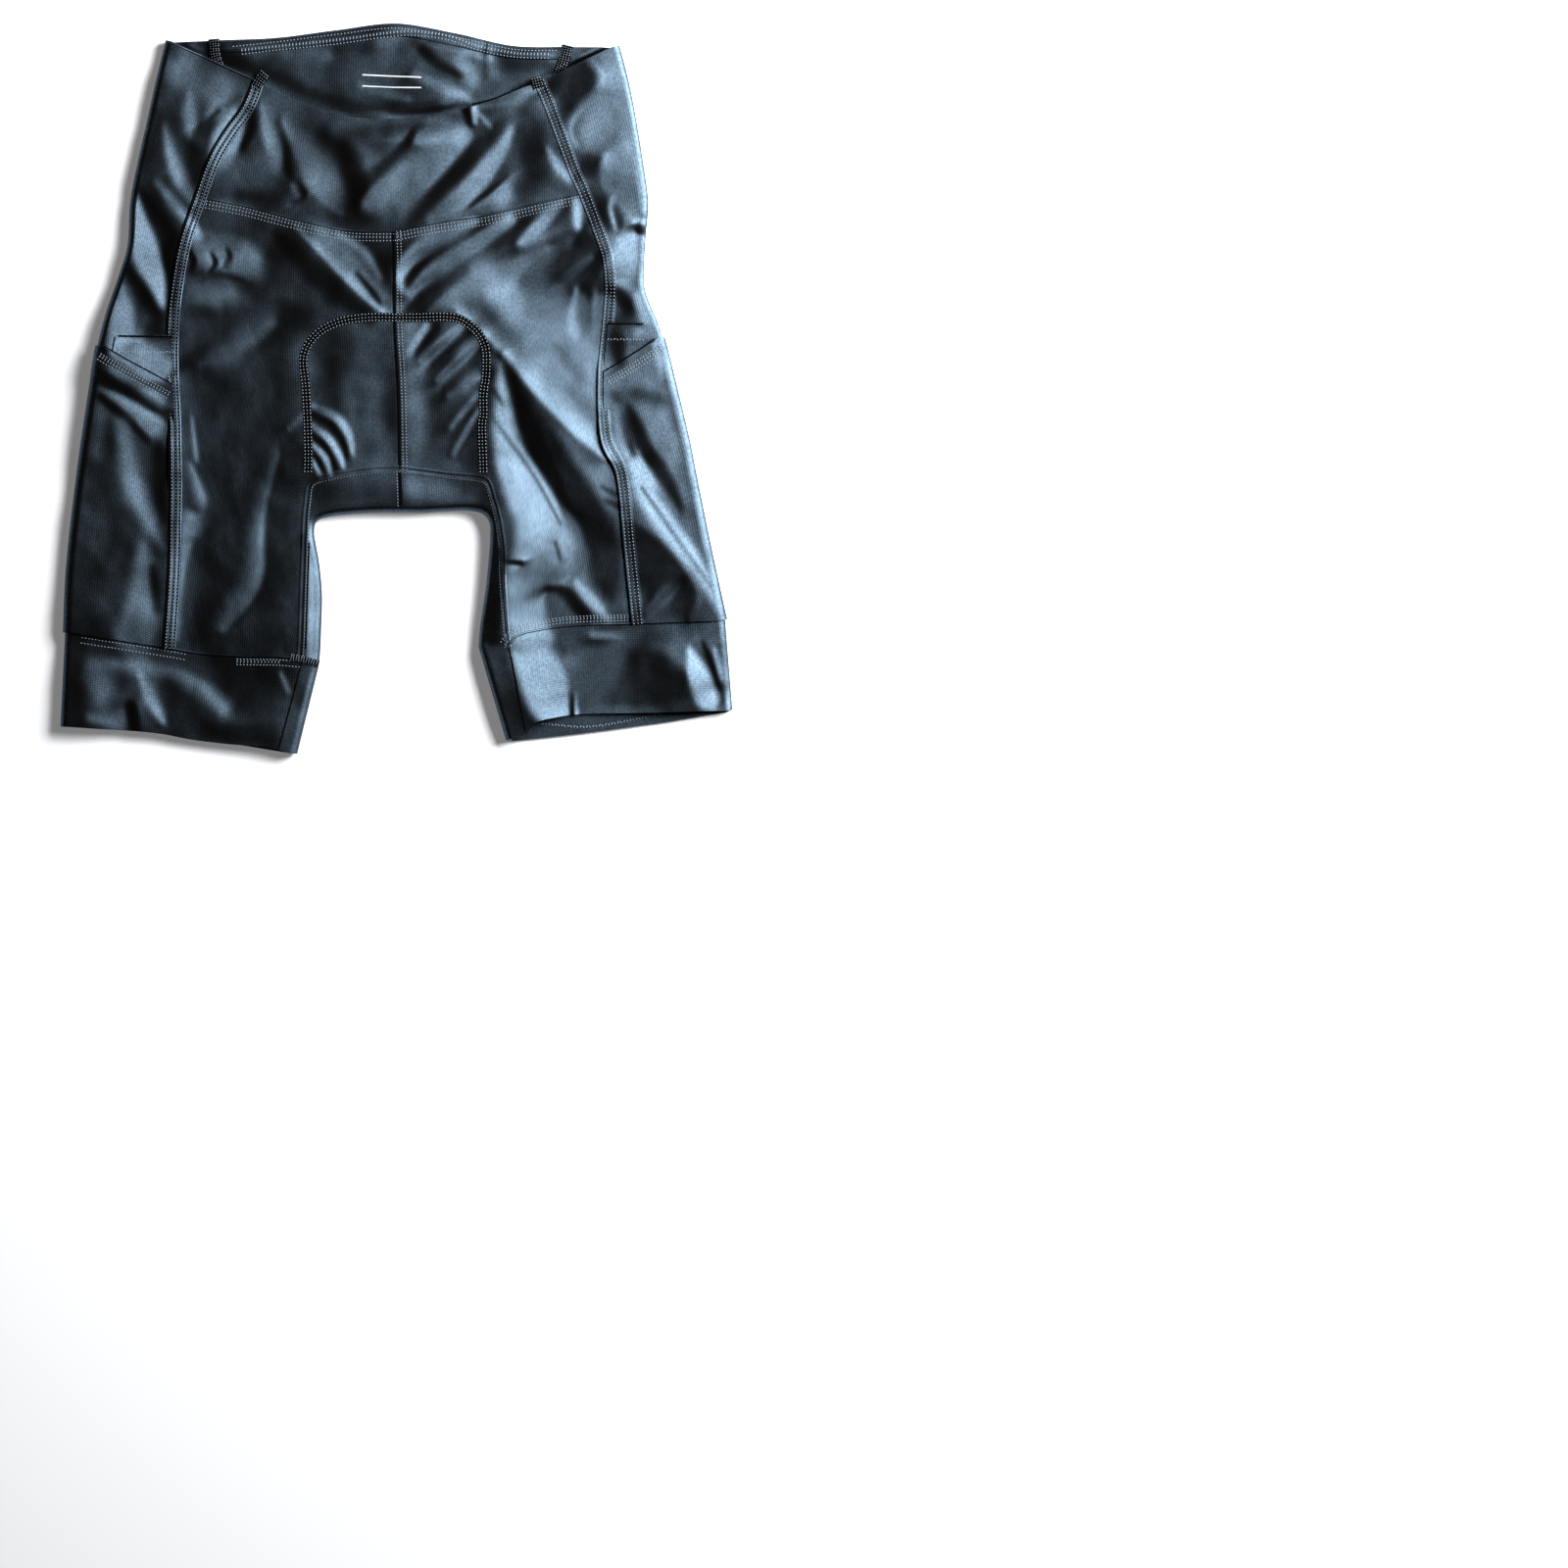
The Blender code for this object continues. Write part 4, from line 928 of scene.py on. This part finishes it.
# A strip with a drawn section, offset to the left of its path and height over the cloth
def strip(name, path, section, owner, slotName, face=surface, above=0.0, material=None):
    path = evenly(path, max(4, round(lengthOf(np.asarray(path, float)) / sewn["step"])))
    section = np.array(section, float)
    side = sideways(path)[1]
    over = -1 if face is underFace else 1
    plan = path[:, None] + over * side[:, None] * section[None, :, :1]
    top = face(plan)
    bottom = top.copy()
    bottom[..., 2] -= sewn["sunk"] * over
    top[..., 2] += over * (section[:, 1] + spread(above, len(plan))[:, None])
    faces = closedFaces(*plan.shape[:2])
    uv = clothPlaces(top).reshape(-1, 2)
    vertices = np.concatenate([top.reshape(-1, 3), bottom.reshape(-1, 3)])
    material = material or materials[slotName]
    piece = addMesh(name, vertices, faces.tolist(), material, np.concatenate([uv, uv]), 70)
    cloths[owner]["with"].append(piece)


threadParts = []  # stitches made since the last joined mesh


# Stitches on a path: each a grain with two ends, two sides, a top and a base point
def stitchRow(path, offset=0.0, pitch=2.6, long=1.8, wide=0.9, high=0.5, turn=0.0, face=surface,
              above=0.0, zigzag=False):
    path = np.asarray(path, float)
    path = evenly(path, max(2, round(lengthOf(path) / pitch)))
    forward, side = sideways(path)
    number = np.arange(len(path))
    angle = np.radians(turn) * np.where(number % 2 == 0, 1, -1 if zigzag else 1)
    middle = path + side * offset
    axis = forward * np.cos(angle)[:, None] + side * np.sin(angle)[:, None]
    over = -1 if face is underFace else 1
    cross = over * np.stack([-axis[:, 1], axis[:, 0]], axis=1)
    plan = np.stack([
        middle - axis * long / 2, middle + axis * long / 2, middle - cross * wide / 2,
        middle + cross * wide / 2, middle, middle,
    ], axis=1)
    points = face(plan)
    shape = np.array([-0.1, -0.1, 0.0, 0.0, high, -0.3])
    points[..., 2] += over * (spread(above, len(plan))[:, None] + shape)
    threadParts.append(points)


# Cover stitch: two rows, and the ladder of thread between them
def coverStitch(path, near, far, pitch, above=0.0):
    stitchRow(path, near, pitch, above=above)
    stitchRow(path, far, pitch, above=above)
    stitchRow(path, (near + far) / 2, pitch, 3.6, 0.6, 0.25, 75, above=above)


# Joins the stitches made so far into one mesh
def joinStitches(name, owner):
    points = np.concatenate(threadParts).reshape(-1, 3)
    threadParts.clear()
    shape = np.array([
        (0, 2, 4), (2, 1, 4), (1, 3, 4), (3, 0, 4), (2, 0, 5), (1, 2, 5), (3, 1, 5), (0, 3, 5),
    ])
    count = len(points) // 6
    faces = (shape[None] + 6 * np.arange(count)[:, None, None]).reshape(-1, 3)
    cloths[owner]["with"].append(addMesh(name, points, faces.tolist(), thread))


# Sections of strips, each point an offset to the left and a height
bundle = (  # flat-felled side seam: ridges at -4.2, -1.2 and 2.8 with grooves between
    (-4.9, -0.1), (-4.5, 0.15), (-4.1, 0.22), (-3.6, 0.12), (-2.9, -0.1), (-2.1, 0.1), (-1.2, 0.25),
    (-0.5, 0.12), (0.4, 0.0), (1.4, 0.12), (2.8, 0.28), (3.8, 0.2), (4.4, 0.05), (4.9, -0.1),
)
lineRidge = ((-0.9, -0.1), (-0.5, 0.15), (0.0, 0.25), (0.5, 0.15), (0.9, -0.1))
darkRidge = ((-0.7, -0.1), (-0.4, 0.2), (0.0, 0.3), (0.4, 0.2), (0.7, -0.1))
centreRidge = ((-1.6, -0.1), (-0.8, 0.2), (0.0, 0.3), (0.8, 0.2), (1.6, -0.1))
underRidge = ((-0.8, -0.1), (0.0, 0.1), (0.8, -0.1))
inseamWelts = ((-3.6, -0.1), (-1.4, 0.4), (-0.3, -0.05), (0.3, -0.05), (1.3, 0.45), (3.2, -0.1))
chainBand = (
    (-3.6, -0.1), (-3.1, 0.35), (-2.4, 0.5), (-1.6, 0.3), (-0.8, 0.45), (0.0, 0.3), (0.8, 0.45),
    (1.6, 0.3), (2.4, 0.5), (3.1, 0.35), (3.6, -0.1),
)
hemBand = ((-10.4, 0.0), (-9.9, 0.55), (-6, 0.7), (-2.0, 0.6), (-0.8, 0.2))
labelBar = ((-0.5, 0.0), (0.0, 0.12), (0.5, 0.0))
tab = ((-4.4, 0.0), (-3.8, 0.5), (-2.0, 0.9), (0.0, 1.0), (2.0, 0.9), (3.8, 0.5), (4.4, 0.0))

sideSeams = {  # how high the bundle stands, and its grooves, near-black strips painted as their shade: places and half width
    "left": {"height": 1.7, "grooves": (-2.9, 0.4, 5.0), "groove": 0.6},
    "right": {"height": 0.5, "grooves": (0.4,), "groove": 0.5},
}


# Seam between front and side panel, raised where the pocket's layers lie under it
def sideSeam(half):
    owner, own = f"side_panel_{half.name}", sideSeams[half.name]
    step = cells["fine"] // 2
    seam, place = half.frontSeam[::step], np.arange(len(half.frontSeam))[::step]
    raised = layer * smoothStep((place - facingStart + 4) / 6) + layer * (
        smoothStep((place - pocketStart + 3) / 4) - smoothStep((place - pocketStart - facingTuck - 4) / 10)
    )
    section = sorted((half.turn * offset, own["height"] * high) for offset, high in bundle)
    strip(f"side seam {half.name}", seam, section, owner, "shell_knit", above=0.2 + raised)
    # Near-black strips in its grooves and along its edge: painted shade
    for number, offset in enumerate(own["grooves"]):
        middle, wide = offset * half.turn, own["groove"]
        section = ((middle - wide, -0.1), (middle, 0.2), (middle + wide, -0.1))
        strip(f"side seam groove {half.name} {number}", seam, section, owner, "shell_knit",
              above=0.25 + raised, material=blackThreadAndPaintedShade)
    for offset, above in ((0.3, 0.25), (2.9 * half.turn, 0.75), (-3.0 * half.turn, 0.2)):
        stitchRow(seam, offset, above=above + raised)
    joinStitches(f"side seam stitches {half.name}", owner)


# The inseam's welts, and the waist seam with its cover stitch below it
def frontSeams(half):
    owner, down = f"front_{half.name}", -half.turn
    inseam, waist = half.inseam[:: cells["fine"]], half.waistSeam[:: cells["fine"]]
    strip(f"inseam {half.name}", inseam, inseamWelts, owner, "shell_knit")
    stitchRow(inseam, 2.4 * down, 2.4)
    strip(f"waist seam {half.name}", waist, lineRidge, owner, "shell_knit")
    coverStitch(waist, 1.8 * down, 7.0 * down, 2.6)
    joinStitches(f"front stitches {half.name}", owner)


cuffRows = {"gap": (-160, -124), "ladder": 88}  # x where the left's rows sink in, and ladder's start


# The cuff's seam: its line, its two rows, and the ladder between them
def cuffSeam(half):
    owner = f"cuff_{half.name}"
    path = np.concatenate([half.cuffSeam, half.sideSheet.base[-1, 1 : cells["sideTop"]]])[::8]
    strip(f"cuff seam {half.name}", path, lineRidge, owner, "band_knit", above=0.3)
    x = path[:, 0]
    start, end = cuffRows["gap"]
    spans = (path[x < start], path[x > end]) if half.turn < 0 else (path,)
    for span in spans:
        stitchRow(span, 2.4, above=0.2)
        stitchRow(span, 6.6, above=0.2)
    ladder = spans[-1][abs(spans[-1][:, 0]) > cuffRows["ladder"]]
    stitchRow(ladder, 4.5, 2.6, 3.2, 0.6, 0.25, 75, above=0.2)
    joinStitches(f"cuff stitches {half.name}", owner)


# The pocket's mouth with its cover stitch, and the facing's edge with its zigzag, each with a painted shadow
# line along it
def pocketSeams(half):
    owner, down = f"pocket_{half.name}", -half.turn
    mouth = half.sideSheet.base[pocketStart, : cells["sideTop"]][::4]
    strip(f"pocket mouth {half.name}", mouth, lineRidge, owner, "pocket_knit", above=3.0)
    coverStitch(mouth, down * 5.5, down * 10.5, 2.4, above=3.25)
    joinStitches(f"pocket stitches {half.name}", owner)
    paintedShadowLine(f"mouth line {half.name}", mouth + (0, 0.8), owner, 3.1)
    owner = f"pocket_facing_{half.name}"
    top = half.sideSheet.base[facingStart, : cells["facing"]][::4]
    strip(f"facing edge {half.name}", top, lineRidge, owner, "pocket_knit", above=1.6)
    stitchRow(top, down * 12.0, 2.4, 3.0, 0.6, 0.3, 50, above=1.65, zigzag=True)
    joinStitches(f"facing stitches {half.name}", owner)
    paintedShadowLine(f"facing line {half.name}", top, owner, 1.75)


# A painted shadow line on the front: a near-black strip where a seam's groove, a gap or a folded edge lies in
# shade
def paintedShadowLine(name, path, owner, above=0.1):
    strip(name, path, darkRidge, owner, "shell_knit", above=above, material=blackThreadAndPaintedShade)


# A seam of the underside: a dark line with rows of stitches beside it
def underSeam(name, stitchesName, path, owner, offsets=(2.6, -2.6)):
    strip(name, path, underRidge, owner, "shell_knit", underFace, material=blackThreadAndPaintedShade)
    for offset in offsets:
        stitchRow(path, offset, high=0.25, face=underFace)
    joinStitches(stitchesName, owner)


for half in (left, right):
    sideSeam(half)
    frontSeams(half)
    cuffSeam(half)
    pocketSeams(half)
    cuffBack = np.concatenate([
        half.sideSheet.base[-1, cells["sideTop"] + cells["roll"] + 1 :],
        half.backSheet.base[-1, ::-1][: cells["back"]],
    ])[::2]
    for name, path, owner in (
        ("back side seam", half.backSeam[:: cells["fine"]], f"side_panel_{half.name}"),
        ("back yoke seam", half.backYoke[:: cells["fine"]], f"back_{half.name}"),
        ("back cuff seam", cuffBack, f"cuff_{half.name}"),
    ):
        underSeam(f"{name} {half.name}", f"{name} stitches {half.name}", path, owner)
centreBack = ((3, -93), (1, -40), (0, 40), (0, 110), (0, 166))
underSeam("centre back seam", "centre back stitches", centreBack, "back_left", (2.6,))

# Centre seams as near-black strips, the painted shade of their grooves, and the chain-stitched outline of the
# pad as a near-black band
crotchSeam = ((3, -64), (3.6, -78), (4, -90))
padLine = (
    (-67, -64), (-67, -40), (-69, 0), (-71, 20), (-68, 32), (-60, 42), (-50, 48), (-38, 52), (-20, 54),
    (0, 54), (20, 54), (35, 54.5), (48, 53), (58, 47), (65, 39), (69, 28), (69, 10), (67, -5), (67, -20),
    (66, -30), (67, -64),
)
strip("centre seam", centreFront, centreRidge, "front_left", "shell_knit", material=blackThreadAndPaintedShade)
strip("crotch centre seam", crotchSeam, centreRidge, "back_left", "shell_knit", material=blackThreadAndPaintedShade)
strip("pad outline band", padLine, chainBand, "front_left", "shell_knit", material=blackThreadAndPaintedShade)
stitchRow(centreFront, -2.4, 2.4)
stitchRow(centreFront, -5.2, 2.4)
stitchRow(crotchSeam, -2.4, 2.4)
for offset, above in ((2.5, 0.45), (0.0, 0.3), (-2.5, 0.45)):
    stitchRow(padLine, offset, 2.6, 2.2, 0.8, 0.4, 30, above=above, zigzag=True)
joinStitches("pad outline stitches", "front_left")

# Waist: the hem inside the back band with its rows, and the label's two plain bars
upper = ((-125, 262), (-93, 265.5), (-46, 271.5), (0, 276), (46, 269), (90, 260), (122, 259))
lower = (
    (-118, 256), (-93, 259), (-46, 264), (0, 270), (20, 270), (40, 267), (60, 260), (90, 254), (116, 253),
)
strip("back waist hem", backWaistEdge, hemBand, "waistband_back", "band_knit", insideFace)
stitchRow(upper, wide=1.0, high=0.6, face=insideFace, above=0.9)
stitchRow(lower, wide=1.0, high=0.6, face=insideFace, above=0.9)
stitchRow(lower, 3.0, 2.6, 3.8, 0.8, 0.4, 80, insideFace, 0.9)
joinStitches("back waist stitches", "waistband_back")
labelBars = (((-26, 240.5), (-4, 239.5), (19, 238.5)), ((-26, 232), (-4, 231), (19, 230.5)))
for number, bar in enumerate(labelBars):
    strip(f"label bar {number}", bar, labelBar, "waistband_back", "band_knit", insideFace,
          material=paleThread)

# Painted shadow lines: near-black strips where the edges and seam grooves lie in shade
for name, path, owner in (
    ("waist edge line", ((58, 217.5), (75, 222), (90, 228.5), (105, 235.5)), "waistband_front"),
    ("inner cuff line left", ((-72.5, -211), (-80, -240), (-90, -276)), "cuff_left"),
    ("inner cuff line right", ((86.5, -199), (90, -215), (99, -262)), "cuff_right"),
    ("inseam line left", ((-66.5, -118), (-67.5, -150), (-69, -200)), "front_left"),
    ("inseam line right", ((79.5, -122), (81.5, -150), (84.5, -188)), "front_right"),
):
    paintedShadowLine(name, path, owner)
sideEdge = ((-175, 265.5), (-150, 255), (-128, 245), (-110, 237))
strip("side edge left", sideEdge, lineRidge, "side_panel_left", "shell_knit", above=0.1)
backHem = ((112, -257), (150, -259), (205, -249))
stitchRow(backHem, 0, 2.4, 3.2, 0.8, 0.4, 55, insideFace, 0.3, zigzag=True)
joinStitches("back hem stitches right", "cuff_right")

# Overlocked tails of the seams at the openings: a tab wound with slanting thread. Each has its name,
# path, owner, face, height over it and width
for name, path, owner, face, above, share in (
    ("front left tail", ((-108, 231), (-105, 236), (-101, 241)), "side_panel_left", surface, 0.5, 1.0),
    ("front right tail", ((109, 230), (108, 234), (107, 237.5)), "side_panel_right", surface, 0.5, 1.0),
    ("back left tail", ((-136, 246), (-139, 256), (-140, 268)), "waistband_back", insideFace, 0.2, 1.0),
    ("back right tail", ((124, 240), (128, 251), (131, 263)), "waistband_back", insideFace, 0.2, 1.0),
    ("inseam tail", ((-80, -206), (-69, -208), (-59, -211)), "cuff_left", surface, 0.3, 0.6),
):
    section = [(share * across, high) for across, high in tab]
    strip(name, path, section, owner, "band_knit", face, above, blackThreadAndPaintedShade)
    for offset in (-3.0, -1.0, 1.0, 3.0):
        high = above + 1.0 - 0.15 * abs(offset)
        stitchRow(path, offset * share, 1.9, 2.6, 0.6, 0.4, 55, face, high, zigzag=True)
    joinStitches(f"{name} thread", owner)
print("seams made")

# Goes through the sheets, taking each one's flat width and length, and does nothing with them
for name, cloth in cloths.items():
    if name.startswith("front_"):
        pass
    elif name == "waistband_front":
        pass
    elif name.startswith("pocket"):
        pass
    else:
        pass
    width, length = cloth["flat"]

# Pale floor, just below the cloth, in metres
ground = {"reach": 4, "below": 0.0004, "colour": "#efeff1", "glow": "#f4f4f6", "strength": 0.22}
reach = ground["reach"]
floorMesh = bpy.data.meshes.new("floor")
corners = [(-reach, -reach, 0), (reach, -reach, 0), (reach, reach, 0), (-reach, reach, 0)]
floorMesh.from_pydata(corners, [], [(0, 1, 2, 3)])
board = plainMaterial("pale matt board", ground["colour"], 0.9, 0.2)  # soft white, with faint shadows
boardShader = board.node_tree.nodes["Principled BSDF"]
boardShader.inputs["Emission Color"].default_value = linear(ground["glow"])
boardShader.inputs["Emission Strength"].default_value = ground["strength"]
floorMesh.materials.append(board)
floor = bpy.data.objects.new("floor", floorMesh)
floor.location.z = -ground["below"]
bpy.context.scene.collection.objects.link(floor)

# Window light from the right and a little above, and a weak warm fill from the room
heading, height = np.radians(light["heading"]), np.radians(light["height"])
direction = np.array([np.cos(heading) * np.cos(height), np.sin(heading) * np.cos(height), np.sin(height)])
window = bpy.data.lights.new("window", "AREA")
window.shape, window.size, window.energy = "SQUARE", light["size"], light["energy"]
window.color = light["colour"]
windowObject = bpy.data.objects.new("window", window)
windowObject.location = direction * light["distance"]
windowObject.rotation_mode = "QUATERNION"
windowObject.rotation_quaternion = Vector(direction).to_track_quat("Z", "Y")
bpy.context.scene.collection.objects.link(windowObject)
room = {"colour": (1.0, 0.70, 0.52, 1.0), "strength": 0.015}
world = bpy.data.worlds.new("studio")
world.use_nodes = True
background = world.node_tree.nodes["Background"]
background.inputs["Color"].default_value = room["colour"]
background.inputs["Strength"].default_value = room["strength"]
bpy.context.scene.world = world
bpy.context.scene.view_settings.view_transform = "Standard"  # plain contrast, as in the photo

# Camera straight above the middle of the photo's frame, which is as wide as stated, in metres
view = {"centre": (0.297, -0.303), "width": 1.203, "lens": 135.0, "sensor": 36.0, "far": 50}
camera = bpy.data.cameras.new("camera")
camera.sensor_width, camera.lens, camera.clip_end = view["sensor"], view["lens"], view["far"]
cameraObject = bpy.data.objects.new("camera", camera)
cameraObject.location = (*view["centre"], view["width"] * view["lens"] / view["sensor"])
bpy.context.scene.collection.objects.link(cameraObject)
bpy.context.scene.camera = cameraObject
bpy.context.view_layer.update()
